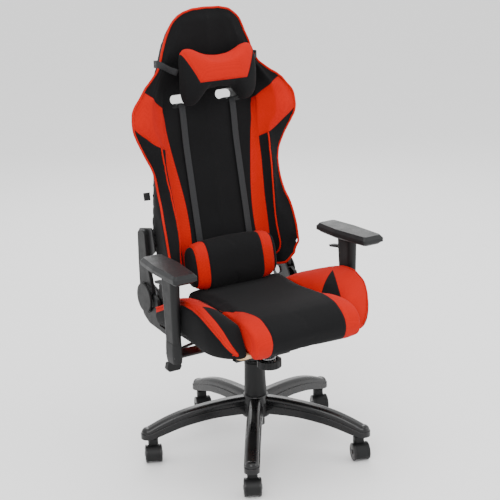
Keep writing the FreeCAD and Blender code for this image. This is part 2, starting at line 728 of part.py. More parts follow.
def recliner_seat_bracket():
    """Steel side plate from under the seat frame, behind the seat, up to the recline axis."""
    outline = [
        (62, 353), (170, 353), (212, 390), (224, 440), (214, 464), (190, 473), (152, 462), (124, 422),
        (119, 371), (62, 371),
    ]
    outside = -SEAT_PLATE_X - RECLINER_PLATE
    plate = plate_yz(outline, -SEAT_PLATE_X, outside, [4.0, 12.0, 12.0, 12.0, 12.0, 12.0, 10.0, 10.0, 3.0, 3.0])
    foot = box(outside, -150, 70, 95, FRAME_BOTTOM_Z - 4, FRAME_BOTTOM_Z)
    body = plate.fuse(foot).removeSplitter()
    body = body.cut(cylinder_x(PIVOT_PIN_R, -300, -150, RECLINE_Y, RECLINE_Z))
    return body.cut(cylinder_x(LEVER_PIN_R, -300, -150, LEVER_PIN_Y, LEVER_PIN_Z))


def recliner_pivot():
    """Pivot pin and the fixed half of the recliner disc."""
    disc = cylinder_x(DISC_R, -210, -214.7, RECLINE_Y, RECLINE_Z)
    pin = cylinder_x(PIVOT_PIN_R, -202, -227, RECLINE_Y, RECLINE_Z)
    head = cylinder_x(12.0, -202, -206, RECLINE_Y, RECLINE_Z)
    return fuse_all([disc, pin, head])


def recliner_back_bracket():
    """Flat arm from the recline axis up and forward to the back's cross tubes."""
    outline = [(-28, 0), (26, 0), (20, 100), (8, 194), (-74, 194), (-74, 128), (-30, 108)]
    outside = -BACK_PLATE_X - RECLINER_PLATE
    arm = plate_yz(outline, -BACK_PLATE_X, outside, [4.0, 4.0, 20.0, 10.0, 8.0, 8.0, 20.0])
    disc = cylinder_x(DISC_R, -BACK_PLATE_X, outside, 0, 0)
    body = arm.fuse(disc).removeSplitter()
    return body.cut(cylinder_x(PIVOT_PIN_R + RUNNING, -300, -150, 0, 0))


def moulded_cover(face, x_inner, x_outer, wall, edge_r):
    """Shell with one closed face, from a flat (y, z) face at X = 0."""
    outside = face.copy()
    outside.translate(V(x_inner, 0, 0))
    solid = outside.extrude(V(x_outer - x_inner, 0, 0))
    rim = [e for e in solid.Edges if abs(e.BoundBox.XMin - x_outer) < 0.01 and e.BoundBox.XLength < 0.01]
    solid = solid.makeFillet(edge_r, rim)
    inside = face.makeOffset2D(-wall)
    inside.translate(V(x_inner, 0, 0))
    step = wall if x_outer > x_inner else -wall
    return solid.cut(inside.extrude(V(x_outer - step - x_inner, 0, 0)))


def face_yz(outline, radii):
    return Part.Face(rounded_wire([V(0, y, z) for y, z in outline], radii))


def disc_yz(r, y, z):
    return Part.Face(Part.Wire(Part.Circle(V(0, y, z), X_AXIS, r).toShape()))


def recliner_lower_cover():
    """Cover of the seat bracket, cut clear of the turning upper cover."""
    outline = [
        (230, 407), (214, 380), (182, 364), (60, 355), (60, 371), (117, 374), (119, 410), (126, 444),
        (155, 455),
    ]
    face = face_yz(outline, [0.0, 12.0, 12.0, 4.0, 4.0, 2.0, 4.0, 6.0, 0.0])
    face = face.cut(disc_yz(LOWER_COVER_R, RECLINE_Y, RECLINE_Z))
    cover = moulded_cover(face.Faces[0], -SEAT_PLATE_X - RECLINER_PLATE, -COVER_FACE_X, 2.5, 1.0)
    lever_window = box(-220, -209, 100, 147, 395, 470)
    return cover.cut(lever_window)


def recliner_upper_cover():
    """Blade-shaped cover of the back bracket with a round lower end."""
    outline = [(-48, 190), (-4, 190), (19, 103), (40, 8), (-40, 8), (-36, 110)]
    blade = face_yz(outline, [14.0, 14.0, 40.0, 0.0, 0.0, 60.0])
    face = blade.fuse(disc_yz(UPPER_COVER_R, 0, 0)).removeSplitter()
    seat = -BACK_PLATE_X - RECLINER_PLATE - 0.1
    return moulded_cover(face.Faces[0], seat, -COVER_FACE_X, 2.5, 2.0)


def recliner_cap():
    neck = cylinder_x(33.0, -COVER_FACE_X, -COVER_FACE_X - 3.5, 0, 0)
    disc = cylinder_x(UPPER_COVER_R, -COVER_FACE_X - 3.0, -COVER_FACE_X - 10.0, 0, 0)
    disc = disc.makeFillet(2.5, [e for e in disc.Edges if e.BoundBox.XLength < 0.01])
    return neck.fuse(disc).removeSplitter()


def recline_lever_arm():
    outline = [
        (LEVER_PIN_Y + 9, LEVER_PIN_Z - 7), (LEVER_PIN_Y + 7, LEVER_PIN_Z + 9), (126, 486),
        (112, 486), (118, 440), (LEVER_PIN_Y - 9, LEVER_PIN_Z - 4),
    ]
    arm = plate_yz(outline, -211.5, -214.7, [6.0, 4.0, 4.0, 4.0, 8.0, 6.0])
    return arm.cut(cylinder_x(LEVER_PIN_R + RUNNING, -300, -150, LEVER_PIN_Y, LEVER_PIN_Z))


def recline_lever_grip(arm):
    grip = plate_yz([(114, 448), (134, 448), (130, 492), (107, 492)], -210.3, -219.5, [5.0, 5.0, 8.0, 8.0])
    return grip.cut(arm)


def lever_pin():
    pin = cylinder_x(LEVER_PIN_R, -206, -217, LEVER_PIN_Y, LEVER_PIN_Z)
    head = cylinder_x(7.0, -215.5, -218, LEVER_PIN_Y, LEVER_PIN_Z)
    return pin.fuse(head).removeSplitter()


lever_arm = recline_lever_arm()
save("recliner_seat_brackets", *both_sides(recliner_seat_bracket()))
save("recliner_pivots", *both_sides(recliner_pivot()), *both_sides(lever_pin()))
save("recliner_back_brackets", *both_sides(on_recline_axis(recliner_back_bracket())))
save("recliner_lower_covers", *both_sides(recliner_lower_cover()))
save("recliner_upper_covers", *both_sides(on_recline_axis(recliner_upper_cover())))
save("recliner_caps", *both_sides(on_recline_axis(recliner_cap())))
save("recline_lever_arm", lever_arm)
save("recline_lever_grip", recline_lever_grip(lever_arm))


# ---------------------------------------------------------------- seat upholstery
SEAT_PROFILE = [
    (112, 377), (116, 405), (104, 448), (88, SEAT_TOP_Z), (-60, SEAT_TOP_Z - 4), (-200, SEAT_TOP_Z + 2),
    (-262, 455), (-286, 425), (-283, 385), (-270, 375), (-250, 377),
]
SEAT_PROFILE_RADII = [6.0, 10.0, 14.0, 14.0, 120.0, 60.0, 30.0, 20.0, 8.0, 4.0, 2.0]
SEAT_WING_PROFILE = [
    (104, 377), (110, 410), (98, 437), (31, 468), (-71, 506), (-112, 509),
    (-152, 505), (-187, 484), (-223, 446), (-250, 402), (-254, 377),
]
SEAT_WING_RADII = [6.0, 10.0, 8.0, 40.0, 40.0, 30.0, 30.0, 30.0, 30.0, 20.0, 4.0]


def board_space():
    grown = [(x * 1.003, y * 1.003) for x, y in board_outline]
    return plate_xy(grown, BOARD_BOTTOM_Z - 1, BOARD_TOP_Z + SOFT_GAP, 14.0)


def seat_cushion():
    centre = plate_yz(SEAT_PROFILE, -SEAT_CENTRE_HALF_WIDTH, SEAT_CENTRE_HALF_WIDTH, SEAT_PROFILE_RADII)
    return centre.cut(board_space())


def seat_bolster():
    inner = SEAT_CENTRE_HALF_WIDTH + SOFT_GAP
    wing = plate_yz(SEAT_WING_PROFILE, inner, SEAT_HALF_WIDTH, SEAT_WING_RADII)
    outside = SEAT_HALF_WIDTH
    plan = [(inner, -255), (188, -248), (222, -222), (outside, -160), (outside, 110), (inner, 110)]
    wing = wing.common(plate_xy(plan, 370, 520, [0.0, 20.0, 30.0, 40.0, 4.0, 0.0]))
    slope = plate_xz([(inner - 1, SEAT_TOP_Z), (226, 512), (inner - 1, 530)], -300, 200)
    return wing.cut(slope).cut(board_space())


save("seat_cushion", seat_cushion())
save("seat_bolsters", *both_sides(seat_bolster()))


# ---------------------------------------------------------------- backrest frame
BACK_TUBE_R = 9.0
BACK_TUBE_X = 134.0
BACK_TUBE_Y = 36.0
BACK_TUBE_TOP = 565.0
# Cross tubes as (height, half length, y); the two long ones reach the recliner brackets.
CROSS_TUBES = (
    (70.0, BACK_TUBE_X, BACK_TUBE_Y),
    (135.0, BACK_PLATE_X, BACK_TUBE_Y - 4),
    (165.0, BACK_PLATE_X, BACK_TUBE_Y - 4),
    (430.0, BACK_TUBE_X, BACK_TUBE_Y),
    (556.0, BACK_TUBE_X, BACK_TUBE_Y),
)


def back_frame_tubes(side_r, cross_r):
    """Two side tubes joined by cross tubes."""
    tubes = [cylinder_z(side_r, 50, BACK_TUBE_TOP, side * BACK_TUBE_X, BACK_TUBE_Y) for side in (-1, 1)]
    for height, half, y in CROSS_TUBES:
        tubes.append(cylinder_x(cross_r, -half, half, y, height))
    return tubes


def lumbar_springs(r):
    """Zigzag support wires across the frame behind the waist."""
    y = BACK_TUBE_Y - 4
    return [cylinder_x(r, -BACK_TUBE_X, BACK_TUBE_X, y, height) for height in range(220, 401, 45)]


def back_frame():
    return fuse_all(back_frame_tubes(BACK_TUBE_R, BACK_TUBE_R - 1) + lumbar_springs(1.8))


def back_frame_space():
    return fuse_all(back_frame_tubes(BACK_TUBE_R + 0.5, BACK_TUBE_R - 0.5) + lumbar_springs(2.3))


# ---------------------------------------------------------------- back upholstery
# Side profile of the centre panel and head, as (y, z) in the back's frame.
CENTRE_PROFILE = [
    (BACK_REAR - 2, 12), (BACK_REAR, 60), (BACK_REAR, 520), (30, 640), (-20, 752), (-44, 762),
    (-68, 752), (-48, 690), (-22, 602), (8, 548), (BACK_FRONT, 380), (BACK_FRONT, 30), (28, 12),
]
CENTRE_PROFILE_RADII = [8.0, 30.0, 120.0, 80.0, 12.0, 10.0, 10.0, 60.0, 60.0, 30.0, 300.0, 8.0, 6.0]
HEAD_OUTLINE = [
    (BACK_CENTRE_HALF_WIDTH, 10), (BACK_CENTRE_HALF_WIDTH, 655), (118, 718), (86, 762),
    (-86, 762), (-118, 718), (-BACK_CENTRE_HALF_WIDTH, 655), (-BACK_CENTRE_HALF_WIDTH, 10),
]
HEAD_OUTLINE_RADII = [4.0, 60.0, 60.0, 30.0, 30.0, 60.0, 60.0, 4.0]
WING_PROFILE = [
    (BACK_REAR, 25), (BACK_REAR, 520), (30, 640), (6, 695), (-50, 695), (-40, 640), (-60, 545),
    (-54, 480), (-14, 370), (-13, 290), (-50, 170), (-53, 100), (-44, 25),
]
WING_PROFILE_RADII = [8.0, 60.0, 40.0, 4.0, 4.0, 30.0, 40.0, 60.0, 60.0, 60.0, 40.0, 30.0, 10.0]
WING_INNER = BACK_CENTRE_HALF_WIDTH + SOFT_GAP
WING_OUTLINE = [
    (WING_INNER, 25), (172, 25), (205, 62), (212, 120), (202, 240), (203, 330), (236, 393),
    (262, 455), (258, 505), (226, 540), (160, 602), (138, 665), (WING_INNER, 690),
]
WING_OUTLINE_RADII = [0.0, 20.0, 30.0, 60.0, 80.0, 50.0, 60.0, 30.0, 20.0, 30.0, 50.0, 40.0, 0.0]


def stadium_xz(length, height, x, z, y0, y1):
    """Slot-shaped bar along Y with its long side along X."""
    r = height / 2
    x0 = x - length / 2
    x1 = x + length / 2
    return plate_xz([(x0, z - r), (x1, z - r), (x1, z + r), (x0, z + r)], y0, y1, r - 0.01)


def slot_bars(grow, y0, y1):
    """Both strap slots as solid bars, grown evenly all round."""
    length = SLOT_LENGTH + 2 * grow
    height = SLOT_OPENING + 2 * grow
    return [stadium_xz(length, height, side * SLOT_X, SLOT_HEIGHT, y0, y1) for side in (-1, 1)]


BEZEL_WALL = 3.0
BEZEL_FLANGE = 10.0
BEZEL_FRONT = 8.0
BEZEL_PROUD = 2.0


def backrest_cushion():
    profile = plate_yz(CENTRE_PROFILE, -BACK_CENTRE_HALF_WIDTH, BACK_CENTRE_HALF_WIDTH, CENTRE_PROFILE_RADII)
    front = plate_xz(HEAD_OUTLINE, -90, 60, HEAD_OUTLINE_RADII)
    cushion = profile.common(front).cut(back_frame_space())
    for bar in slot_bars(BEZEL_WALL + SOFT_GAP, -100, 100):
        cushion = cushion.cut(bar)
    return cushion


def backrest_bolster():
    profile = plate_yz(WING_PROFILE, WING_INNER, 270, WING_PROFILE_RADII)
    front = plate_xz(WING_OUTLINE, -90, 60, WING_OUTLINE_RADII)
    wing = profile.common(front)
    inner_slope = plate_xy([(122, BACK_FRONT), (162, -18), (250, -70), (122, -90)], 0, 700)
    outer_slope = plate_xy([(260, -55), (300, -55), (300, 90), (171, 90)], 300, 700)
    return wing.cut(inner_slope).cut(outer_slope).cut(back_frame_space())


def strap_slot_bezels():
    """Plastic liners of the strap slots with a flange front and rear."""
    liners = slot_bars(BEZEL_WALL, BEZEL_FRONT - BEZEL_PROUD, BACK_REAR + BEZEL_PROUD)
    front = slot_bars(BEZEL_FLANGE, BEZEL_FRONT - BEZEL_PROUD, BEZEL_FRONT - SOFT_GAP)
    rear = slot_bars(BEZEL_FLANGE, BACK_REAR + SOFT_GAP, BACK_REAR + BEZEL_PROUD)
    holes = slot_bars(0.0, -100, 100)
    return [fuse_all([liners[i], front[i], rear[i]]).cut(holes[i]) for i in range(2)]


STRAP_WIDTH = 19.0
STRAP_THICKNESS = 2.0


def lumbar_strap(x):
    """Webbing loop down the front, under the cushion and up the rear, closed
    through a strap slot."""
    front = BEZEL_FRONT - BEZEL_PROUD - SOFT_GAP - STRAP_THICKNESS
    rear = BACK_REAR + BEZEL_PROUD + SOFT_GAP + STRAP_THICKNESS
    low = 4.0
    high = SLOT_HEIGHT - SLOT_OPENING / 2 + 1.0 + STRAP_THICKNESS
    outer = [(front, low), (rear, low), (rear, high), (front, high)]
    t = STRAP_THICKNESS
    inner = [(front + t, low + t), (rear - t, low + t), (rear - t, high - t), (front + t, high - t)]
    x0 = x - STRAP_WIDTH / 2
    x1 = x + STRAP_WIDTH / 2
    return plate_yz(outer, x0, x1, 2.5).cut(plate_yz(inner, x0 - 1, x1 + 1, 0.8))


def lumbar_pillow():
    """Soft roll with round ends, resting against the straps."""
    sizes = ((-1.0, 0.55), (-0.95, 0.8), (-0.8, 0.97), (0.0, 1.0), (0.8, 0.97), (0.95, 0.8), (1.0, 0.55))
    half_length = 136.0
    half_depth = 37.0
    half_height = 68.0
    centre_y = 2.4 - half_depth
    centre_z = 62.0
    sections = []
    for share, size in sizes:
        centre = V(LUMBAR_PILLOW_X + share * half_length, centre_y, centre_z)
        top = centre + V(0, 0, half_height * size)
        front = centre - V(0, half_depth * size, 0)
        sections.append(Part.Wire(Part.Ellipse(top, front, centre).toShape()))
    return Part.makeLoft(sections, True, False)


def neck_pillow():
    """Butterfly-shaped head pillow with a dipped top edge."""
    outline = [
        (-70, 498), (70, 498), (112, 508), (126, 580), (120, 652), (96, 658), (0, 632),
        (-96, 658), (-120, 652), (-126, 580), (-112, 508),
    ]
    radii = [20.0, 20.0, 20.0, 40.0, 12.0, 12.0, 120.0, 12.0, 12.0, 40.0, 20.0]
    front = plate_xz(outline, -130, 0, radii)
    side = [(-3, 490), (-30, 580), (-54, 664), (-104, 664), (-88, 490)]
    return front.common(plate_yz(side, -130, 130, [12.0, 60.0, 14.0, 20.0, 24.0]))


def neck_band():
    """Elastic band from the pillow's sides round the back of the head."""
    low = 600.0
    high = 620.0
    t = 1.6
    outer = [(-169, -40), (169, -40), (169, 50), (-169, 50)]
    inner = [(-169 + t, -40 + t), (169 - t, -40 + t), (169 - t, 50 - t), (-169 + t, 50 - t)]
    loop = plate_xy(outer, low, high, 16.0).cut(plate_xy(inner, low - 1, high + 1, 16.0 - t))
    return loop.cut(box(-127, 127, -60, 0, 590, 630))


save("backrest_frame", in_back(back_frame()))
save("backrest_cushion", in_back(backrest_cushion()))
save("backrest_bolsters", *both_sides(in_back(backrest_bolster())))
save("strap_slot_bezels", *[in_back(bezel) for bezel in strap_slot_bezels()])
save("lumbar_straps", *both_sides(in_back(lumbar_strap(STRAP_X))))
save("lumbar_pillow", in_back(lumbar_pillow()))
save("neck_pillow", in_back(neck_pillow()))
save("neck_band", in_back(neck_band()))
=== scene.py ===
import json
from math import cos, exp, pi, radians, sin

import bmesh
import bpy
from mathutils import Matrix, Vector, kdtree
from mathutils.bvhtree import BVHTree


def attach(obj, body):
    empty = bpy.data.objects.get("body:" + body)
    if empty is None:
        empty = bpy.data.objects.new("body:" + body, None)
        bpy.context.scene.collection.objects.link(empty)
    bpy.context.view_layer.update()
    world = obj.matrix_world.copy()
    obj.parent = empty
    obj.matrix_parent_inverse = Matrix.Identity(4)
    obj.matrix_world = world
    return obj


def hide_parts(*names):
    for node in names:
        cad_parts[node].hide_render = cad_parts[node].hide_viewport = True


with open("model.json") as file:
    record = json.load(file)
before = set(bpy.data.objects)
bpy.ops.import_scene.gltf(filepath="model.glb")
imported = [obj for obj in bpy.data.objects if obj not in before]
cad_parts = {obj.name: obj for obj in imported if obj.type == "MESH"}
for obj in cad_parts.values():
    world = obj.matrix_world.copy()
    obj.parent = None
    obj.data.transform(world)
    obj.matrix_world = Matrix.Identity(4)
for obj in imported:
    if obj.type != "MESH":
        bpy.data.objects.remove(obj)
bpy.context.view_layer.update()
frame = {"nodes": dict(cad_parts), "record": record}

# Metres, +Z up, the chair faces -Y. Stations and sizes below are in millimetres
# and turned into metres by mm() and in_back().
MM = 0.001
# Lean of the back and the place of its own origin, from which its stations count.
LEAN = radians(12.0)
PIVOT_Y = 103.0
PIVOT_Z = 468.0
RED = (0.46, 0.0065, 0.001)
BLACK = (0.0055, 0.0055, 0.006)
WEBBING = (0.022, 0.0225, 0.024)


# ---------------------------------------------------------------- shared maths
def mm(x, y, z):
    return Vector((x * MM, y * MM, z * MM))


def in_back(x, s, t):
    """Point at x across, s up the back and t forward, from the back's origin."""
    y = PIVOT_Y + s * sin(LEAN) - t * cos(LEAN)
    z = PIVOT_Z + s * cos(LEAN) + t * sin(LEAN)
    return mm(x, y, z)


def to_back(point):
    """(x, s, t) of a world point in millimetres."""
    x, y, z = point.x / MM, point.y / MM - PIVOT_Y, point.z / MM - PIVOT_Z
    return x, y * sin(LEAN) + z * cos(LEAN), z * sin(LEAN) - y * cos(LEAN)


def smooth(stations, value):
    """Monotone cubic through (position, height) stations, flat beyond the ends."""
    if value <= stations[0][0]:
        return stations[0][1]
    if value >= stations[-1][0]:
        return stations[-1][1]
    slopes = [(b[1] - a[1]) / (b[0] - a[0]) for a, b in zip(stations, stations[1:])]
    tangents = [slopes[0]]
    for before, after in zip(slopes, slopes[1:]):
        same_way = before * after > 0
        tangents.append(2 * before * after / (before + after) if same_way else 0.0)
    tangents.append(slopes[-1])
    i = 0
    while value > stations[i + 1][0]:
        i += 1
    (x0, y0), (x1, y1) = stations[i], stations[i + 1]
    h = x1 - x0
    u = (value - x0) / h
    start = y0 * (1 + 2 * u) * (1 - u) ** 2 + tangents[i] * h * u * (1 - u) ** 2
    return start + y1 * u * u * (3 - 2 * u) + tangents[i + 1] * h * u * u * (u - 1)


def steps(first, last, count):
    return [first + (last - first) * i / (count - 1) for i in range(count)]


def bulged(corners, bulges, counts):
    """Open line through 2-D corners; each side swells to its left by its bulge."""
    line = []
    for (a, b), bulge, count in zip(zip(corners, corners[1:]), bulges, counts):
        dx, dy = b[0] - a[0], b[1] - a[1]
        length = max((dx * dx + dy * dy) ** 0.5, 1e-6)
        for i in range(count):
            u = i / count
            swell = bulge * 4 * u * (1 - u)
            line.append((a[0] + dx * u + dy / length * swell, a[1] + dy * u - dx / length * swell))
    line.append(corners[-1])
    return line


# ---------------------------------------------------------------- mesh helpers
def new_object(name, verts, faces):
    mesh = bpy.data.meshes.new(name)
    mesh.from_pydata([tuple(v) for v in verts], [], faces)
    mesh.update()
    piece = bpy.data.objects.new(name, mesh)
    bpy.context.scene.collection.objects.link(piece)
    return piece


def tidy_normals(piece):
    bm = bmesh.new()
    bm.from_mesh(piece.data)
    bmesh.ops.remove_doubles(bm, verts=bm.verts, dist=1e-6)
    bmesh.ops.recalc_face_normals(bm, faces=bm.faces)
    bm.to_mesh(piece.data)
    bm.free()


def shade_smooth(piece):
    for polygon in piece.data.polygons:
        polygon.use_smooth = True


def lofted(name, rings):
    """Closed shell through rings with equal point counts, both ends filled."""
    count = len(rings[0])
    verts = [point for ring in rings for point in ring]
    faces = []
    for i in range(len(rings) - 1):
        for j in range(count):
            k = (j + 1) % count
            faces.append((i * count + j, i * count + k, (i + 1) * count + k, (i + 1) * count + j))
    for row, ring in ((0, rings[0]), (len(rings) - 1, rings[-1])):
        middle = sum(ring, Vector()) / count
        verts.append(middle)
        for j in range(count):
            faces.append((row * count + j, row * count + (j + 1) % count, len(verts) - 1))
    piece = new_object(name, verts, faces)
    tidy_normals(piece)
    return piece


def apply_modifiers(piece):
    graph = bpy.context.evaluated_depsgraph_get()
    mesh = bpy.data.meshes.new_from_object(piece.evaluated_get(graph))
    piece.modifiers.clear()
    old = piece.data
    piece.data = mesh
    bpy.data.meshes.remove(old)


def puff(piece, voxel, pressure, cap):
    """Remesh a closed shell and let cloth under air pressure round it out."""
    remesh = piece.modifiers.new("even", "REMESH")
    remesh.mode = "VOXEL"
    remesh.voxel_size = voxel * MM
    apply_modifiers(piece)
    before = [v.co.copy() for v in piece.data.vertices]
    cloth = piece.modifiers.new("air", "CLOTH")
    cloth.settings.quality = 5
    cloth.settings.mass = 0.3
    cloth.settings.tension_stiffness = 25
    cloth.settings.compression_stiffness = 25
    cloth.settings.shear_stiffness = 12
    cloth.settings.bending_stiffness = 2
    cloth.settings.use_pressure = True
    cloth.settings.uniform_pressure_force = pressure
    cloth.settings.effector_weights.gravity = 0
    cloth.point_cache.frame_start = 1
    cloth.point_cache.frame_end = 20
    scene = bpy.context.scene
    for number in range(1, 21):
        scene.frame_set(number)
    apply_modifiers(piece)
    scene.frame_set(1)
    for vertex, start in zip(piece.data.vertices, before):
        move = vertex.co - start
        if move.length > cap * MM:
            vertex.co = start + move * (cap * MM / move.length)
    relax = piece.modifiers.new("relax", "SMOOTH")
    relax.factor = 0.5
    relax.iterations = 2
    finer = piece.modifiers.new("finer", "SUBSURF")
    finer.levels = 1
    apply_modifiers(piece)
    shade_smooth(piece)


def carve(piece, lines, depth=2.6, reach=3.4):
    """Press seams into a padded piece along lines of world points."""
    points = [p for line in lines for p in dense(line, 2.0)]
    tree = kdtree.KDTree(len(points))
    for i, point in enumerate(points):
        tree.insert(point, i)
    tree.balance()
    moved = []
    for vertex in piece.data.vertices:
        distance = tree.find(vertex.co)[2] / MM
        if distance < reach * 3:
            pull = depth * exp(-((distance / reach) ** 2)) * MM
            moved.append((vertex, vertex.co - vertex.normal * pull))
    for vertex, place in moved:
        vertex.co = place
    piece.data.update()


def dense(line, spacing):
    """Points every spacing millimetres along a line of world points."""
    out = [line[0]]
    for a, b in zip(line, line[1:]):
        count = max(1, round((b - a).length / (spacing * MM)))
        out.extend(a.lerp(b, i / count) for i in range(1, count + 1))
    return out


def settled(line, piece, lift):
    """The line laid on a piece's surface, lift millimetres proud of it."""
    tree = BVHTree.FromObject(piece, bpy.context.evaluated_depsgraph_get())
    out = []
    for point in dense(line, 5.0):
        out.append(tree.find_nearest(point)[0])
    out = evened(out, 4)
    for i, point in enumerate(out):
        place, normal = tree.find_nearest(point)[:2]
        out[i] = place + normal * lift * MM
    return evened(out, 3)


def evened(line, rounds=2):
    for _ in range(rounds):
        middle = [(a + b * 2 + c) / 4 for a, b, c in zip(line, line[1:], line[2:])]
        line = [line[0]] + middle + [line[-1]]
    return line


def tube(name, line, radius, sides=8, closed=False):
    """Round cord along world points, radius in millimetres."""
    angles = [2 * pi * k / sides for k in range(sides)]
    return swept(name, line, [(radius * cos(a), radius * sin(a)) for a in angles], closed)


def swept(name, line, section, closed=False, facing=None):
    """Sweep a closed section along a line. facing(point) gives the direction
    of the section's second axis; without it the frame is carried along."""
    count = len(line)
    rings = []
    across = None
    for i, point in enumerate(line):
        ahead = line[(i + 1) % count] if closed or i + 1 < count else point
        behind = line[i - 1] if closed or i > 0 else point
        along = (ahead - behind).normalized()
        if facing is not None:
            across = facing(point)
        elif across is None:
            across = Vector((0, 0, 1)) if abs(along.z) < 0.9 else Vector((0, 1, 0))
        across = (across - along * across.dot(along)).normalized()
        side = along.cross(across)
        rings.append([point + side * a * MM + across * b * MM for a, b in section])
    if closed:
        size = len(section)
        verts = [p for ring in rings for p in ring]
        faces = []
        for i in range(count):
            for j in range(size):
                a, b = i * size, ((i + 1) % count) * size
                k = (j + 1) % size
                faces.append((a + j, a + k, b + k, b + j))
        piece = new_object(name, verts, faces)
        tidy_normals(piece)
    else:
        piece = lofted(name, rings)
    shade_smooth(piece)
    return piece


def joined(name, pieces):
    """One object from several."""
    bm = bmesh.new()
    for piece in pieces:
        bm.from_mesh(piece.data)
    mesh = bpy.data.meshes.new(name)
    bm.to_mesh(mesh)
    bm.free()
    whole = bpy.data.objects.new(name, mesh)
    bpy.context.scene.collection.objects.link(whole)
    for piece in pieces:
        bpy.data.objects.remove(piece)
    shade_smooth(whole)
    return whole


def stitches(name, line, length=4.2, gap=2.6, radius=0.42):
    """Row of thread stitches along world points."""
    points = dense(line, 0.9)
    per = max(2, round(length / 0.9))
    skip = max(1, round(gap / 0.9))
    pieces = []
    i = 0
    while i + per < len(points):
        run = points[i:i + per + 1]
        pieces.append(tube(name + "_s", [run[0], run[len(run) // 2], run[-1]], radius, 5))
        i += per + skip
    return joined(name, pieces)


def paint(piece, name, value):
    """Signed millimetres to a panel's edge, positive inside it, per vertex."""
    layer = piece.data.attributes.new(name, "FLOAT", "POINT")
    layer.data.foreach_set("value", [value(v.co) for v in piece.data.vertices])


# ---------------------------------------------------------------- materials
class Shader:
    """Short way to wire a node material."""

    def __init__(self, name):
        self.material = bpy.data.materials.new(name)
        self.material.use_nodes = True
        self.tree = self.material.node_tree
        self.surface = self.tree.nodes["Principled BSDF"]
        self.where = self.node("ShaderNodeTexCoord").outputs["Object"]

    def node(self, kind, **values):
        node = self.tree.nodes.new(kind)
        for key, value in values.items():
            setattr(node, key, value)
        return node

    def link(self, source, target):
        self.tree.links.new(source, target)

    def noise(self, scale, detail=3.0, rough=0.55):
        node = self.node("ShaderNodeTexNoise")
        node.inputs["Scale"].default_value = scale
        node.inputs["Detail"].default_value = detail
        node.inputs["Roughness"].default_value = rough
        self.link(self.where, node.inputs["Vector"])
        return node.outputs["Fac"]

    def cells(self, scale, randomness=1.0, feature="F1"):
        node = self.node("ShaderNodeTexVoronoi", feature=feature)
        node.inputs["Scale"].default_value = scale
        node.inputs["Randomness"].default_value = randomness
        self.link(self.where, node.inputs["Vector"])
        return node.outputs["Distance"]

    def waves(self, scale, direction, distortion=0.0):
        node = self.node("ShaderNodeTexWave", bands_direction=direction)
        node.inputs["Scale"].default_value = scale
        node.inputs["Distortion"].default_value = distortion
        self.link(self.where, node.inputs["Vector"])
        return node.outputs["Fac"]

    def maths(self, operation, a, b):
        node = self.node("ShaderNodeMath", operation=operation)
        for socket, value in zip(node.inputs, (a, b)):
            if isinstance(value, float):
                socket.default_value = value
            else:
                self.link(value, socket)
        return node.outputs[0]

    def span(self, value, low, high, from_low=0.0, from_high=1.0):
        node = self.node("ShaderNodeMapRange")
        self.link(value, node.inputs["Value"])
        limits = (("From Min", from_low), ("From Max", from_high), ("To Min", low), ("To Max", high))
        for key, number in limits:
            node.inputs[key].default_value = number
        return node.outputs["Result"]

    def blend(self, share, a, b):
        node = self.node("ShaderNodeMix", data_type="RGBA")
        self.link(share, node.inputs["Factor"])
        for socket, value in ((node.inputs["A"], a), (node.inputs["B"], b)):
            if isinstance(value, tuple):
                socket.default_value = (*value, 1.0)
            else:
                self.link(value, socket)
        return node.outputs["Result"]

    def tinted(self, share, color, low, high):
        """color darkened to low and lightened to high by a 0 to 1 value."""
        return self.blend(share, tuple(c * low for c in color), tuple(c * high for c in color))

    def bump(self, height, strength, distance):
        node = self.node("ShaderNodeBump")
        node.inputs["Strength"].default_value = strength
        node.inputs["Distance"].default_value = distance * MM
        self.link(height, node.inputs["Height"])
        self.link(node.outputs["Normal"], self.surface.inputs["Normal"])

    def put(self, key, value):
        socket = self.surface.inputs[key]
        if isinstance(value, (int, float)):
            socket.default_value = value
        elif isinstance(value, tuple):
            socket.default_value = (*value, 1.0)
        else:
            self.link(value, socket)


def fabric(name, base, panel=None, layer=None, weave=560.0):
    """Knitted cover cloth; a layer's positive side takes the panel colour."""
    shader = Shader(name)
    knit = shader.cells(weave, 0.35)
    fuzz = shader.noise(1500.0, 2.0)
    cloudy = shader.span(shader.noise(9.0, 4.0), 0.0, 1.0, 0.3, 0.7)
    color = shader.tinted(cloudy, base, 0.88, 1.14)
    if panel is not None:
        edge = shader.node("ShaderNodeAttribute", attribute_name=layer).outputs["Fac"]
        inside = shader.span(edge, 0.0, 1.0, -0.35, 0.35)
        color = shader.blend(inside, color, shader.tinted(cloudy, panel, 0.93, 1.06))
    loops = shader.span(knit, 1.06, 0.78, 0.0, 0.9)
    shade = shader.node("ShaderNodeVectorMath", operation="SCALE")
    shader.link(color, shade.inputs[0])
    shader.link(loops, shade.inputs["Scale"])
    shader.put("Base Color", shade.outputs[0])
    shader.put("Roughness", shader.span(fuzz, 0.78, 0.96))
    shader.put("Sheen Weight", 0.02)
    shader.put("Sheen Roughness", 0.5)
    shader.put("Specular IOR Level", 0.12)
    height = shader.maths("ADD", shader.maths("MULTIPLY", knit, -0.8), shader.maths("MULTIPLY", fuzz, 0.5))
    shader.bump(height, 0.45, 0.35)
    return shader.material


def webbing(name, color, rib):
    """Woven band with ribs along its length and a fine diagonal."""
    shader = Shader(name)
    ribs = shader.waves(rib, "X")
    twill = shader.waves(rib * 0.8, "DIAGONAL", 0.4)
    both = shader.maths("ADD", shader.maths("MULTIPLY", ribs, 0.6), shader.maths("MULTIPLY", twill, 0.4))
    shader.put("Base Color", shader.tinted(both, color, 0.7, 1.25))
    shader.put("Roughness", shader.span(shader.noise(700.0), 0.6, 0.85))
    shader.put("Sheen Weight", 0.02)
    shader.put("Specular IOR Level", 0.2)
    shader.bump(both, 0.5, 0.3)
    return shader.material


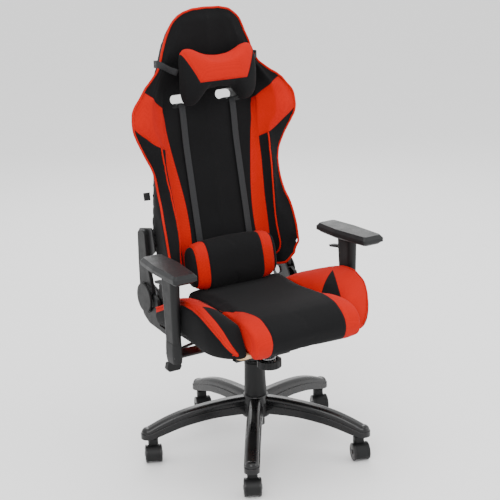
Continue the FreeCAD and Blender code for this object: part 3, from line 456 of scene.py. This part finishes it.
def moulded(name, color, grain, rough, depth=0.12, coat=0.0):
    """Injection-moulded plastic with fine grain and faint scuffs."""
    shader = Shader(name)
    pebble = shader.cells(grain, 0.9)
    scuffs = shader.span(shader.noise(34.0, 6.0, 0.7), 0.0, 1.0, 0.35, 0.75)
    shader.put("Base Color", shader.tinted(scuffs, color, 0.85, 1.25))
    shader.put("Roughness", shader.span(scuffs, rough - 0.06, rough + 0.1))
    shader.put("Specular IOR Level", 0.25)
    shader.put("Coat Weight", coat)
    shader.put("Coat Roughness", 0.12)
    shader.bump(pebble, 0.35, depth)
    return shader.material


def metal(name, color, rough, brushed, metallic=1.0):
    """Plated or brushed steel with fine lines and cloudy tone."""
    shader = Shader(name)
    lines = shader.noise(brushed, 2.0)
    cloudy = shader.noise(20.0, 5.0)
    shader.put("Base Color", shader.tinted(cloudy, color, 0.75, 1.15))
    shader.put("Metallic", metallic)
    shader.put("Roughness", shader.span(lines, rough * 0.7, rough * 1.4))
    shader.bump(lines, 0.15, 0.05)
    return shader.material


def powder_coat(name, color, rough, coat):
    """Glossy coated steel with a slight orange peel."""
    shader = Shader(name)
    peel = shader.noise(420.0, 2.0)
    wear = shader.span(shader.noise(16.0, 6.0, 0.65), 0.0, 1.0, 0.4, 0.7)
    shader.put("Base Color", shader.tinted(wear, color, 0.85, 1.3))
    shader.put("Roughness", shader.span(wear, rough - 0.05, rough + 0.07))
    shader.put("Specular IOR Level", 0.3)
    shader.put("Coat Weight", coat)
    shader.put("Coat Roughness", 0.08)
    shader.bump(peel, 0.12, 0.12)
    return shader.material


def wood(name):
    """Raw plywood with stretched grain."""
    shader = Shader(name)
    grain = shader.waves(9.0, "X", 6.0)
    pores = shader.noise(260.0, 4.0)
    color = shader.blend(grain, (0.42, 0.27, 0.13), (0.62, 0.44, 0.26))
    shader.put("Base Color", color)
    shader.put("Roughness", shader.span(pores, 0.55, 0.8))
    shader.bump(pores, 0.3, 0.2)
    return shader.material


CLOTH_BACK = fabric("back_cloth", BLACK, RED, "panel")
CLOTH_SEAT = fabric("seat_cloth", BLACK, RED, "panel")
CLOTH_PILLOW = fabric("pillow_cloth", BLACK, RED, "panel")
CLOTH_RED = fabric("piping_cloth", RED, weave=900.0)
THREAD = fabric("thread", (0.5, 0.02, 0.006), weave=1600.0)
BAND = webbing("strap_webbing", WEBBING, 420.0)
PLASTIC = moulded("grained_plastic", (0.006, 0.0062, 0.0065), 900.0, 0.5)
PAD_SKIN = moulded("armrest_skin", (0.011, 0.0114, 0.012), 1300.0, 0.44, 0.16)
NYLON = moulded("caster_nylon", (0.009, 0.009, 0.0095), 1500.0, 0.34, 0.05, 0.15)
GLOSSY = powder_coat("glossy_black", (0.004, 0.004, 0.0045), 0.3, 0.15)
SATIN = powder_coat("satin_black", (0.006, 0.006, 0.0065), 0.45, 0.05)
ZINC = metal("zinc_steel", (0.55, 0.55, 0.56), 0.32, 900.0)
CHROME = metal("chrome_steel", (0.62, 0.62, 0.64), 0.12, 500.0)
PLY = wood("plywood")

NODE_MATERIALS = {
    "star_base": GLOSSY,
    "seat_base_board": PLY,
    "gas_cylinder": CHROME,
    "mechanism_housing": SATIN,
    "mechanism_top_plate": SATIN,
    "seat_frame": SATIN,
    "armrest_brackets": SATIN,
    "armrest_posts": SATIN,
    "recliner_seat_brackets": SATIN,
    "recliner_back_brackets": SATIN,
    "backrest_frame": SATIN,
    "gas_base_tube": SATIN,
    "height_lever_rod": SATIN,
    "recline_lever_arm": SATIN,
    "recliner_pivots": ZINC,
    "armrest_pad_left": PAD_SKIN,
    "armrest_pad_right": PAD_SKIN,
}
SLOT_MATERIALS = {
    "hard_plastic": PLASTIC,
    "wheel_plastic": NYLON,
    "plain_steel": ZINC,
    "painted_steel": SATIN,
    "chromed_steel": CHROME,
    "soft_plastic": PAD_SKIN,
    "plywood": PLY,
}


def dress_cad_nodes():
    slots = {row["node"]: row["material_slot"] for row in frame["record"]["subparts"]}
    for node, piece in frame["nodes"].items():
        material = NODE_MATERIALS.get(node) or SLOT_MATERIALS.get(slots[node], PLASTIC)
        piece.data.materials.clear()
        piece.data.materials.append(material)


def dressed(piece, material, body):
    piece.data.materials.clear()
    piece.data.materials.append(material)
    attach(piece, body)
    return piece


# ---------------------------------------------------------------- backrest
# Each table gives a seam line as (height up the back, value): half widths across
# and distances forward of the plane through the back's origin.
EDGE_X = (
    (10, 160), (25, 174), (45, 191), (70, 203), (116, 209), (154, 207), (193, 205), (234, 202),
    (276, 202), (323, 204), (354, 214), (393, 234), (456, 260), (491, 258), (538, 225), (571, 196),
    (607, 159), (655, 141), (679, 132), (703, 121), (728, 105), (745, 86), (756, 52), (760, 20),
)
EDGE_T = (
    (10, 40), (60, 48), (116, 53), (154, 47), (193, 36), (234, 23), (276, 12), (323, 10), (354, 10),
    (393, 21), (456, 51), (491, 55), (538, 60), (571, 51), (607, 42), (679, 49), (755, 71),
)
CREST_X = (
    (20, 150), (45, 160), (72, 165), (120, 160.5), (160, 159), (200, 160), (280, 165.5), (360, 171),
    (395, 172), (425, 185), (456, 198), (491, 197), (538, 180), (571, 162), (607, 140), (655, 122),
    (700, 106), (745, 68), (760, 14),
)
CREST_T = (
    (20, 12), (120, 15), (200, 17.7), (280, 18.2), (360, 16.8), (395, 16), (425, 26), (456, 37),
    (491, 42), (538, 42), (571, 38), (607, 38), (655, 45), (700, 54), (745, 68), (760, 70),
)
WING_SEAM_X = (
    (20, 140), (120, 143.5), (200, 144), (280, 148), (340, 151), (400, 149), (494, 147), (538, 143),
    (571, 132), (607, 114), (655, 100), (700, 86), (745, 52), (760, 10),
)
WING_SEAM_T = (
    (20, -14), (340, -12), (400, -5), (442, 0), (494, 10), (538, 4), (571, 12), (607, 27), (655, 42),
    (700, 53), (745, 67), (760, 69),
)
STRIP_X = (
    (20, 112), (60, 109), (160, 103), (200, 104), (240, 107), (280, 112), (320, 118), (360, 124),
    (400, 130), (440, 136), (480, 139), (497, 142), (538, 120), (607, 84), (655, 72), (700, 60),
    (745, 36), (760, 7),
)
CENTRE_T = (
    (12, -24), (40, -20), (380, -18), (470, -11), (540, -7), (602, 24), (650, 39), (690, 49),
    (745, 65), (760, 68),
)
REAR_X = (
    (10, 150), (45, 184), (90, 205), (154, 210), (234, 200), (300, 187), (354, 178), (420, 184),
    (491, 190), (538, 170), (607, 138), (655, 124), (703, 104), (745, 70), (756, 40), (760, 12),
)
REAR_T = ((10, -46), (480, -46), (538, -42), (607, -26), (655, -12), (703, 6), (745, 30), (760, 48))
REAR_CENTRE_T = ((10, -60), (500, -60), (600, -42), (655, -24), (703, 0), (745, 28), (760, 48))
# Seams across the shoulder as (distance across, height): the red panel lies between.
SHOULDER_TOP = ((142, 496), (156, 506), (178, 522), (192, 534), (215, 549), (240, 562))
SHOULDER_LOW = (
    (140, 383), (147, 386), (174, 396), (192, 406), (213, 422), (240, 442), (262, 461), (280, 472),
)
BACK_LOW = 14.0
EDGE_WALL = 10.0
BACK_HIGH = 760.0


def back_half(s):
    """Right half of the section at height s, front middle to rear middle."""
    full = min(1.0, (BACK_HIGH + 4 - s) / 60.0)
    corners = [
        (0.0, smooth(CENTRE_T, s) + 3),
        (smooth(STRIP_X, s), smooth(CENTRE_T, s)),
        (smooth(WING_SEAM_X, s), smooth(WING_SEAM_T, s)),
        (smooth(CREST_X, s), smooth(CREST_T, s)),
        (smooth(EDGE_X, s), smooth(EDGE_T, s)),
        (smooth(EDGE_X, s) - 1, smooth(EDGE_T, s) - EDGE_WALL * full),
        (smooth(REAR_X, s), smooth(REAR_T, s)),
        (0.0, smooth(REAR_CENTRE_T, s)),
    ]
    bulges = [3 * full, 2 * full, 3 * full, 3 * full, 0.0, 5 * full, 1.0]
    return bulged(corners, bulges, (14, 5, 5, 7, 3, 9, 14))


def back_ring(s):
    half = back_half(s)
    other = [(-x, t) for x, t in half[-2:0:-1]]
    return [in_back(x, s, t) for x, t in half + other]


def back_front(point):
    """Millimetres inside the front face, negative on the sides and rear."""
    x, s, t = to_back(point)
    inward = (t - smooth(EDGE_T, s)) + 1.3 * (smooth(EDGE_X, s) - abs(x))
    middle = (smooth(CENTRE_T, s) + smooth(REAR_CENTRE_T, s)) / 2
    return min(inward, t - middle)


def back_panel(point):
    """Positive inside the red panels of the backrest's front."""
    x, s = to_back(point)[:2]
    a = abs(x)
    strip = min(a - smooth(STRIP_X, s), smooth(WING_SEAM_X, s) - a, 497 - s)
    shoulder = min(smooth(SHOULDER_TOP, a) - s, s - smooth(SHOULDER_LOW, a), a - smooth(WING_SEAM_X, s) + 3)
    return min(max(strip, shoulder), back_front(point))


def side_line(xs, ts, low, high, side, spacing=8.0):
    count = max(2, round((high - low) / spacing))
    return [in_back(side * smooth(xs, s), s, smooth(ts, s)) for s in steps(low, high, count)]


def front_t(a, s):
    """Forward distance of the front face at a across."""
    corners = [
        (0.0, smooth(CENTRE_T, s)),
        (smooth(STRIP_X, s), smooth(CENTRE_T, s)),
        (smooth(WING_SEAM_X, s), smooth(WING_SEAM_T, s)),
        (smooth(CREST_X, s), smooth(CREST_T, s)),
        (smooth(EDGE_X, s) + 0.1, smooth(EDGE_T, s)),
    ]
    for (x0, t0), (x1, t1) in zip(corners, corners[1:]):
        if a <= x1:
            return t0 + (t1 - t0) * (a - x0) / max(x1 - x0, 0.1)
    return corners[-1][1]


def shoulder_line(table, side, last):
    first = table[0][0]
    out = []
    for a in steps(first, last, 16):
        s = smooth(table, a)
        out.append(in_back(side * a, s, front_t(a, s)))
    return out


def outer_piping_line():
    right = side_line(EDGE_X, EDGE_T, 22, 745, 1, 7.0)
    for s in (751, 756, 759):
        right.append(in_back(smooth(EDGE_X, s), s, smooth(EDGE_T, s)))
    hip = [in_back(118, 12, -18), in_back(128, 12, 4), in_back(144, 13, 26), in_back(158, 16, 38)]
    right = hip + right
    left = [Vector((-p.x, p.y, p.z)) for p in reversed(right)]
    return evened(right + left, 2)


def make_backrest():
    rings = [back_ring(s) for s in steps(BACK_LOW, BACK_HIGH, 95)]
    piece = lofted("backrest_cover", rings)
    puff(piece, 5.5, 3.0, 5.0)
    seams = []
    for side in (-1, 1):
        seams.append(side_line(STRIP_X, CENTRE_T, 20, 497, side))
        seams.append(side_line(WING_SEAM_X, WING_SEAM_T, 20, 494, side))
        seams.append(shoulder_line(SHOULDER_TOP, side, 216))
        seams.append(shoulder_line(SHOULDER_LOW, side, 259))
    carve(piece, seams)
    carve(piece, [side_line(CREST_X, CREST_T, 60, 393, side) for side in (-1, 1)], 1.2, 3.0)
    outline = outer_piping_line()
    carve(piece, [outline], 2.0, 3.0)
    rear = [side_line(((10, 120), (560, 120), (700, 84)), REAR_CENTRE_T, 20, 690, side) for side in (-1, 1)]
    rear.append([in_back(x, 600, smooth(REAR_CENTRE_T, 600)) for x in steps(-112, 112, 12)])
    carve(piece, rear, 2.4, 3.2)
    cut_slots(piece)
    paint(piece, "panel", back_panel)
    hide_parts("backrest_cushion", "backrest_bolsters")
    dressed(piece, CLOTH_BACK, "backrest")
    edge = tube("backrest_piping", settled(outline, piece, 0.6), 3.1, 10)
    dressed(edge, CLOTH_RED, "backrest")
    for side, name in ((-1, "right"), (1, "left")):
        hook = [in_back(side * 132, 46, 4), in_back(side * 146, 47, 8), in_back(side * 157, 53, 12)]
        line = hook + side_line(CREST_X, CREST_T, 66, 394, side)
        crest = tube("bolster_piping_" + name, settled(evened(line, 1), piece, 1.2), 2.3, 8)
        dressed(crest, CLOTH_RED, "backrest")
    return piece


SLOT_X = 71.0
SLOT_S = 519.0
SLOT_HALF_LENGTH = 43.0
SLOT_HALF_HEIGHT = 16.5


def cut_slots(piece):
    """Open the two strap slots through the cover, inside their plastic rings."""
    cutters = []
    for side in (-1, 1):
        flat = SLOT_HALF_LENGTH - SLOT_HALF_HEIGHT
        ring = []
        for k in range(40):
            angle = 2 * pi * k / 40
            shift = flat if cos(angle) > 0 else -flat
            x = side * SLOT_X + shift + SLOT_HALF_HEIGHT * cos(angle)
            ring.append((x, SLOT_S + SLOT_HALF_HEIGHT * sin(angle)))
        rings = [[in_back(x, s, t) for x, s in ring] for t in (60, 20, -20, -50, -90)]
        cutters.append(lofted("slot_cutter", rings))
    cutter = joined("slot_cutters", cutters)
    tidy_normals(cutter)
    cut = piece.modifiers.new("slots", "BOOLEAN")
    cut.operation = "DIFFERENCE"
    cut.solver = "EXACT"
    cut.object = cutter
    apply_modifiers(piece)
    bpy.data.objects.remove(cutter)
    shade_smooth(piece)


# ---------------------------------------------------------------- seat
SEAT_TOP = (
    (-292, 418), (-286, 436), (-274, 449), (-255, 459), (-230, 465), (-200, 467), (-120, 464),
    (-40, 463), (40, 464), (92, 464), (106, 452), (114, 430),
)
SEAT_HALF = ((-292, 164), (-240, 166), (-180, 163), (-120, 157), (-60, 152), (110, 148))
SEAT_STRIP = ((-292, 113), (-230, 116), (-190, 121), (-150, 129), (-110, 140), (-70, 153), (110, 170))
WING_CREST_X = (
    (-250, 196), (-247, 203), (-240, 214), (-230, 223), (-221, 230), (-211, 237), (-198, 242),
    (-185, 247), (-168, 250), (-123, 253), (-61, 251), (-21, 248), (31, 246), (98, 245), (108, 243),
)
WING_CREST_Z = (
    (-252, 390), (-247, 403), (-240, 417), (-230, 433), (-221, 448), (-211, 461), (-198, 474),
    (-185, 485), (-168, 495), (-150, 502), (-123, 507), (-93, 507), (-61, 502), (-39, 497),
    (-21, 490), (31, 466), (98, 436), (108, 432),
)
WING_FOOT_X = ((-252, 186), (-240, 206), (-221, 224), (-185, 241), (-150, 245), (108, 240))
SEAT_BOTTOM = 380.0
WING_BAND = 14.0


def seat_profile(x):
    """Closed side section (y, z) of the centre pad at x across."""
    edge = max(0.0, (abs(x) - 118.0) / 45.0)
    drop = 5.0 * edge ** 2
    top = [(y, smooth(SEAT_TOP, y) - drop) for y in steps(112, -288, 44)]
    nose = [(-291, 412 - drop), (-290, 400), (-286, 388), (-279, 379), (-268, 376)]
    under = [(y, 380.0) for y in steps(-250, 106, 24)]
    rear = [(112, 386), (115, 400), (115, 418)]
    return top + nose + under + rear


def seat_half(y):
    return smooth(SEAT_HALF, y)


def make_seat_centre():
    shares = [sin(v) for v in steps(-pi / 2, pi / 2, 49)]
    rings = []
    for share in shares:
        ring = []
        for y, z in seat_profile(share * 160):
            limit = seat_half(y) - 1.5
            ring.append(mm(share * limit, y, z))
        rings.append(ring)
    piece = lofted("seat_centre_cover", rings)
    puff(piece, 5.0, 3.0, 6.0)
    lines = []
    for side in (-1, 1):
        top = [mm(side * smooth(SEAT_STRIP, y), y, smooth(SEAT_TOP, y)) for y in steps(-72, -284, 30)]
        front = [mm(side * 113, y, z) for y, z in ((-292, 418), (-291, 402), (-286, 386), (-277, 377))]
        lines.append(top + front)
    carve(piece, lines)
    paint(piece, "panel", lambda p: min(abs(p.x) / MM - smooth(SEAT_STRIP, p.y / MM), p.z / MM - 368))
    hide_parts("seat_cushion")
    dressed(piece, CLOTH_SEAT, "seat")
    for line, name in zip(lines, ("right", "left")):
        on = settled(line, piece, 0.25)
        shifted = [p + Vector((0.0045 if p.x > 0 else -0.0045, 0, 0)) for p in on]
        row = stitches("seat_strip_stitches_" + name, settled(shifted, piece, 0.15))
        dressed(row, THREAD, "seat")
    return piece


def wing_ring(y, side):
    """Section of a seat wing: up the seam, over the crest, down outside."""
    seam = seat_half(y) + 1.5
    crest = (smooth(WING_CREST_X, y), smooth(WING_CREST_Z, y))
    low = min(smooth(SEAT_TOP, y) - 10, crest[1] - 2)
    foot = smooth(WING_FOOT_X, y)
    corners = [
        (seam, SEAT_BOTTOM), (seam, low), crest, (foot + 3, SEAT_BOTTOM + 12), (foot - 6, SEAT_BOTTOM),
        (seam, SEAT_BOTTOM),
    ]
    size = min(1.0, max(0.15, (crest[1] - SEAT_BOTTOM) / 100))
    line = bulged([(x, z) for x, z in corners], (0, -11 * size, -8 * size, -1, 0), (8, 16, 16, 4, 8))[:-1]
    return [mm(side * x, y, z) for x, z in line]


def wing_panel_and_shade(point):
    """Positive on the red inner face and top band; negative outside, on the black triangle of the inner
    face, and on a patch of painted shade at the front of the -x wing's inner face.
    """
    x, y, z = abs(point.x) / MM, point.y / MM, point.z / MM
    crest_x = smooth(WING_CREST_X, y)
    crest_z = smooth(WING_CREST_Z, y)
    outside = (x - crest_x) * 0.97 - (z - crest_z) * 0.24
    band = z - (crest_z - WING_BAND)
    red = max(-outside - 2.5 if x < crest_x - 2 else -99, band)
    half, top = 44.0, 0.66
    seam = seat_half(y)
    climb = (x - seam) / max(crest_x - seam, 1)
    middle = 76 * climb / top - 152
    triangle = min((top - climb) * 60, half * (1 - climb / top) - abs(y - middle))
    if x < crest_x - 6:
        red = min(red, -triangle)
        # Painted shade: on the -x wing only, the front of the inner face below the crest is made black
        # where the gap beside the centre pad lies in shadow.
        if point.x < 0:
            red = min(red, max((climb - 0.8) * 60, y + 140))
    return red


def make_seat_wing(side, name):
    stations = steps(-251, -200, 14) + steps(-192, 108, 40)
    piece = lofted("seat_wing_cover_" + name, [wing_ring(y, side) for y in stations])
    puff(piece, 4.5, 3.0, 5.0)
    crest = [mm(side * smooth(WING_CREST_X, y), y, smooth(WING_CREST_Z, y)) for y in steps(-250, 104, 60)]
    rows = []
    for share in (3.5, 8.0):
        rows.append([p + mm(side * (4 + share * 0.12), 0, -share) for p in crest])
    band_edge = [p + mm(side * 5, 0, -WING_BAND) for p in crest]
    tree_rows = [settled(row, piece, 0.0) for row in rows]
    carve(piece, tree_rows, 1.1, 1.8)
    carve(piece, [settled(band_edge, piece, 0.0)], 2.2, 3.0)
    paint(piece, "panel", wing_panel_and_shade)
    dressed(piece, CLOTH_SEAT, "seat")
    edge = tube("seat_wing_piping_" + name, settled(crest, piece, 1.3), 2.4, 8)
    dressed(edge, CLOTH_RED, "seat")
    for i, row in enumerate(tree_rows):
        thread = stitches("wing_stitches_%s_%d" % (name, i + 1), settled(row, piece, 0.2))
        dressed(thread, THREAD, "seat")
    return piece


# ---------------------------------------------------------------- pillows
def superellipse(half_x, half_y, power, count):
    out = []
    for k in range(count):
        angle = 2 * pi * k / count
        c, s = cos(angle), sin(angle)
        x = half_x * abs(c) ** (2 / power) * (1 if c >= 0 else -1)
        y = half_y * abs(s) ** (2 / power) * (1 if s >= 0 else -1)
        out.append((x, y))
    return out


LUMBAR_X = -16.0
LUMBAR_S = 60.0
LUMBAR_T = 36.0


def make_lumbar_pillow():
    rings = []
    for share in [sin(v) for v in steps(-pi / 2, pi / 2, 41)]:
        size = (1 - abs(share) ** 5) ** 0.35 if abs(share) < 1 else 0.0
        size = 0.42 + 0.55 * size
        section = superellipse(36 * size, 71 * size, 2.7, 48)
        rings.append([in_back(LUMBAR_X + share * 136, LUMBAR_S + b, LUMBAR_T + a) for a, b in section])
    piece = lofted("lumbar_pillow_cover", rings)
    puff(piece, 4.5, 4.0, 5.0)

    def hoop(x):
        tree = BVHTree.FromObject(piece, bpy.context.evaluated_depsgraph_get())
        out = []
        for k in range(49):
            angle = 2 * pi * k / 48
            way = in_back(0, sin(angle), cos(angle)) - in_back(0, 0, 0)
            start = in_back(x, LUMBAR_S, LUMBAR_T)
            hit = tree.ray_cast(start, way)[0]
            if hit is not None:
                out.append(hit)
        return out

    edges = (86.0, 122.0)
    hoops = [hoop(LUMBAR_X + side * e) for side in (-1, 1) for e in edges]
    carve(piece, hoops, 2.2, 3.2)

    def bands(point):
        """Positive inside the red bands near the ends."""
        out = abs(point.x / MM - LUMBAR_X)
        return min(out - edges[0], edges[1] - out)

    paint(piece, "panel", bands)
    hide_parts("lumbar_pillow")
    dressed(piece, CLOTH_PILLOW, "lumbar")
    return piece


# Top and bottom edges of the neck pillow as (across, height), and how far its
# front and rear faces stand forward of the same plane at each height.
NECK_TOP = ((0, 630), (30, 633), (60, 643), (85, 654), (104, 659), (124, 650))
NECK_FOOT = ((0, 532), (38, 528), (60, 510), (84, 489), (104, 487), (124, 502))
NECK_REAR_T = ((496, 14), (540, 22), (580, 34), (640, 50), (660, 60))
NECK_FRONT_T = ((496, 78), (520, 92), (580, 103), (640, 104), (660, 96))
NECK_LOW_X = 73.0
NECK_LOW_S = 553.0
NECK_X = 8.0


def neck_height(x, share):
    """Height at a share of the way from the bottom edge to the top edge."""
    a = abs(x)
    low = smooth(NECK_FOOT, a)
    high = smooth(NECK_TOP, a)
    return low + (high - low) * share


def crown_half(s):
    """Half width of the neck pillow's red crown at height s."""
    return NECK_LOW_X + (s - NECK_LOW_S) * 0.48


def make_neck_pillow():
    rings = []
    for across in [sin(v) for v in steps(-pi / 2, pi / 2, 49)]:
        x = across * 116
        thin = max(0.0, 1 - abs(across) ** 4) ** 0.5
        ring = []
        for k in range(48):
            angle = 2 * pi * k / 48
            swing = abs(sin(angle)) ** 0.8 * (1 if sin(angle) >= 0 else -1)
            share = 0.5 + 0.49 * swing * (0.72 + 0.28 * thin)
            s = neck_height(x, share)
            rear, front = smooth(NECK_REAR_T, s), smooth(NECK_FRONT_T, s)
            mid, half = (rear + front) / 2, (front - rear) / 2 * (0.35 + 0.6 * thin)
            t = mid + half * abs(cos(angle)) ** 0.8 * (1 if cos(angle) >= 0 else -1)
            ring.append(in_back(NECK_X + x, s, t))
        rings.append(ring)
    piece = lofted("neck_pillow_cover", rings)
    puff(piece, 4.5, 4.0, 6.0)

    def crown(point):
        """Positive in the red crown: a funnel from the lobes to its foot."""
        x, s, t = to_back(point)
        x -= NECK_X
        slope = crown_half(s)
        front = t - (smooth(NECK_REAR_T, s) + 16)
        return min(slope - abs(x), s - NECK_LOW_S, front)

    lines = []
    for side in (-1, 1):
        edge = [(side * crown_half(s), s) for s in steps(NECK_LOW_S, 640, 14)]
        lines.append([in_back(NECK_X + x, s, smooth(NECK_FRONT_T, s)) for x, s in edge])
    foot_t = smooth(NECK_FRONT_T, NECK_LOW_S)
    lines.append([in_back(NECK_X + x, NECK_LOW_S, foot_t) for x in steps(-NECK_LOW_X, NECK_LOW_X, 20)])
    carve(piece, [settled(line, piece, 0.0) for line in lines], 2.2, 3.2)
    paint(piece, "panel", crown)
    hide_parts("neck_pillow")
    dressed(piece, CLOTH_PILLOW, "backrest")
    return piece


# ---------------------------------------------------------------- straps and bands
def flat_section(width, thickness):
    half, edge = width / 2, thickness / 2
    low = [(-half, -edge * 0.6), (-half + 1, -edge), (half - 1, -edge), (half, -edge * 0.6)]
    high = [(half, edge * 0.6), (half - 1, edge), (-half + 1, edge), (-half, edge * 0.6)]
    return low + high


def make_straps():
    """Two webbing loops over the back, through the slots."""
    front_lip = SLOT_S - 13.5 + 1.2
    for side, name in ((-1, "right"), (1, "left")):
        x = side * 80.0
        front = [(s, smooth(CENTRE_T, s) + 8.5) for s in steps(6, 488, 40)]
        over = [
            (500, -1.5), (505.5, -5), (front_lip + 1.5, -10), (front_lip + 1.5, -34),
            (front_lip + 1, -62), (504, -66.5), (496, -67.5),
        ]
        rear = [(s, -67.5) for s in steps(480, 20, 30)]
        under = [(8, -66), (2, -60), (1, -34), (1, -20), (3, -14)]
        line = [in_back(x, s, t) for s, t in front + over + rear + under]
        line = evened(line, 1)
        strap = swept("lumbar_strap_" + name, line, flat_section(19, 1.6), closed=True, facing=strap_out)
        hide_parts("lumbar_straps")
        dressed(strap, BAND, "backrest")


def strap_out(point):
    """Direction away from the middle of the strap's loop."""
    s, t = to_back(point)[1:]
    near_s = min(max(s, 30), 480)
    way = Vector((s - near_s, t + 36))
    if abs(s - near_s) < 1:
        way.x = 0
    return in_back(0, way.x, way.y) - in_back(0, 0, 0)


def make_neck_band():
    """Elastic band round the head, from one side of the pillow to the other."""
    edge = smooth(EDGE_X, 616)
    half = [
        (108, 588, 56), (124, 596, 50), (edge - 8, 611, 47), (edge + 2, 616, 41), (edge - 1, 618, 26),
        (edge - 9, 620, 0), (edge - 17, 622, -20), (116, 622, -33), (60, 622, -37), (0, 622, -38),
    ]
    full = half + [(-x, s, t) for x, s, t in half[-2::-1]]
    line = evened(dense([in_back(x, s, t) for x, s, t in full], 6.0), 2)
    centre = in_back(0, 612, 10)
    up = in_back(0, 1, 0) - in_back(0, 0, 0)

    def outward(point):
        way = point - centre
        return way - up * way.dot(up)

    band = swept("neck_band_elastic", line, flat_section(20, 1.8), facing=outward)
    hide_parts("neck_band")
    dressed(band, BAND, "backrest")


def make_side_tab():
    """Folded fabric tab sewn into the right side seam of the backrest."""
    y, z = 216.0, 717.0
    section = flat_section(22, 3.0)
    line = [mm(-190, y - 2, z), mm(-197, y - 1, z), mm(-204, y, z), mm(-208, y, z)]
    tab = swept("side_tab", line, section, facing=lambda p: Vector((0, -1, 0.2)))
    dressed(tab, BAND, "backrest")


# ---------------------------------------------------------------- stage
CAMERA_AT = Vector((-1.663, -2.813, 1.546))
CAMERA_AZIMUTH = radians(-30.35)
CAMERA_PITCH = radians(16.49)
CAMERA_ROLL = radians(-2.06)


def make_camera():
    a, p, r = CAMERA_AZIMUTH, CAMERA_PITCH, CAMERA_ROLL
    forward = Vector((-sin(a) * cos(p), cos(a) * cos(p), -sin(p)))
    right = Vector((cos(a), sin(a), 0))
    up = right.cross(forward)
    right, up = right * cos(r) + up * sin(r), up * cos(r) - right * sin(r)
    data = bpy.data.cameras.new("camera")
    data.lens = 90.0
    data.sensor_width = 36.0
    data.shift_x = 0.009
    camera = bpy.data.objects.new("camera", data)
    camera.matrix_world = Matrix((right, up, -forward)).transposed().to_4x4()
    camera.location = CAMERA_AT
    bpy.context.scene.collection.objects.link(camera)
    bpy.context.scene.camera = camera


def make_light(name, place, target, size, power):
    data = bpy.data.lights.new(name, "AREA")
    data.shape = "RECTANGLE"
    data.size = size[0]
    data.size_y = size[1]
    data.energy = power
    lamp = bpy.data.objects.new(name, data)
    lamp.location = place
    lamp.rotation_euler = (Vector(target) - Vector(place)).to_track_quat("-Z", "Y").to_euler()
    bpy.context.scene.collection.objects.link(lamp)


def make_stage():
    size = 60.0
    corners = [(-size, -size, 0), (size, -size, 0), (size, size, 0), (-size, size, 0)]
    floor = new_object("floor", corners, [(0, 1, 2, 3)])
    shader = Shader("pale_floor")
    shader.put("Base Color", shader.tinted(shader.noise(3.0), (0.9, 0.9, 0.9), 0.98, 1.0))
    shader.put("Roughness", 0.7)
    floor.data.materials.append(shader.material)
    world = bpy.data.worlds.new("studio")
    world.use_nodes = True
    world.node_tree.nodes["Background"].inputs["Color"].default_value = (1, 1, 1, 1)
    world.node_tree.nodes["Background"].inputs["Strength"].default_value = 1.5
    bpy.context.scene.world = world
    make_light("key", (-2.2, -2.6, 3.0), (0, 0, 0.6), (2.4, 2.4), 80)
    make_light("fill", (2.8, -2.0, 2.0), (0, 0, 0.6), (2.2, 2.2), 35)
    make_light("top", (0.2, 0.4, 3.6), (0, 0, 0.4), (2.5, 2.5), 55)
    make_light("rim", (1.5, 2.8, 2.2), (0, 0, 0.7), (1.8, 1.8), 30)


make_camera()
make_stage()
dress_cad_nodes()
make_backrest()
make_seat_centre()
wings = [make_seat_wing(side, name) for side, name in ((-1, "right"), (1, "left"))]
for wing in wings:
    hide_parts("seat_bolsters")
make_lumbar_pillow()
make_neck_pillow()
make_straps()
make_neck_band()
make_side_tab()
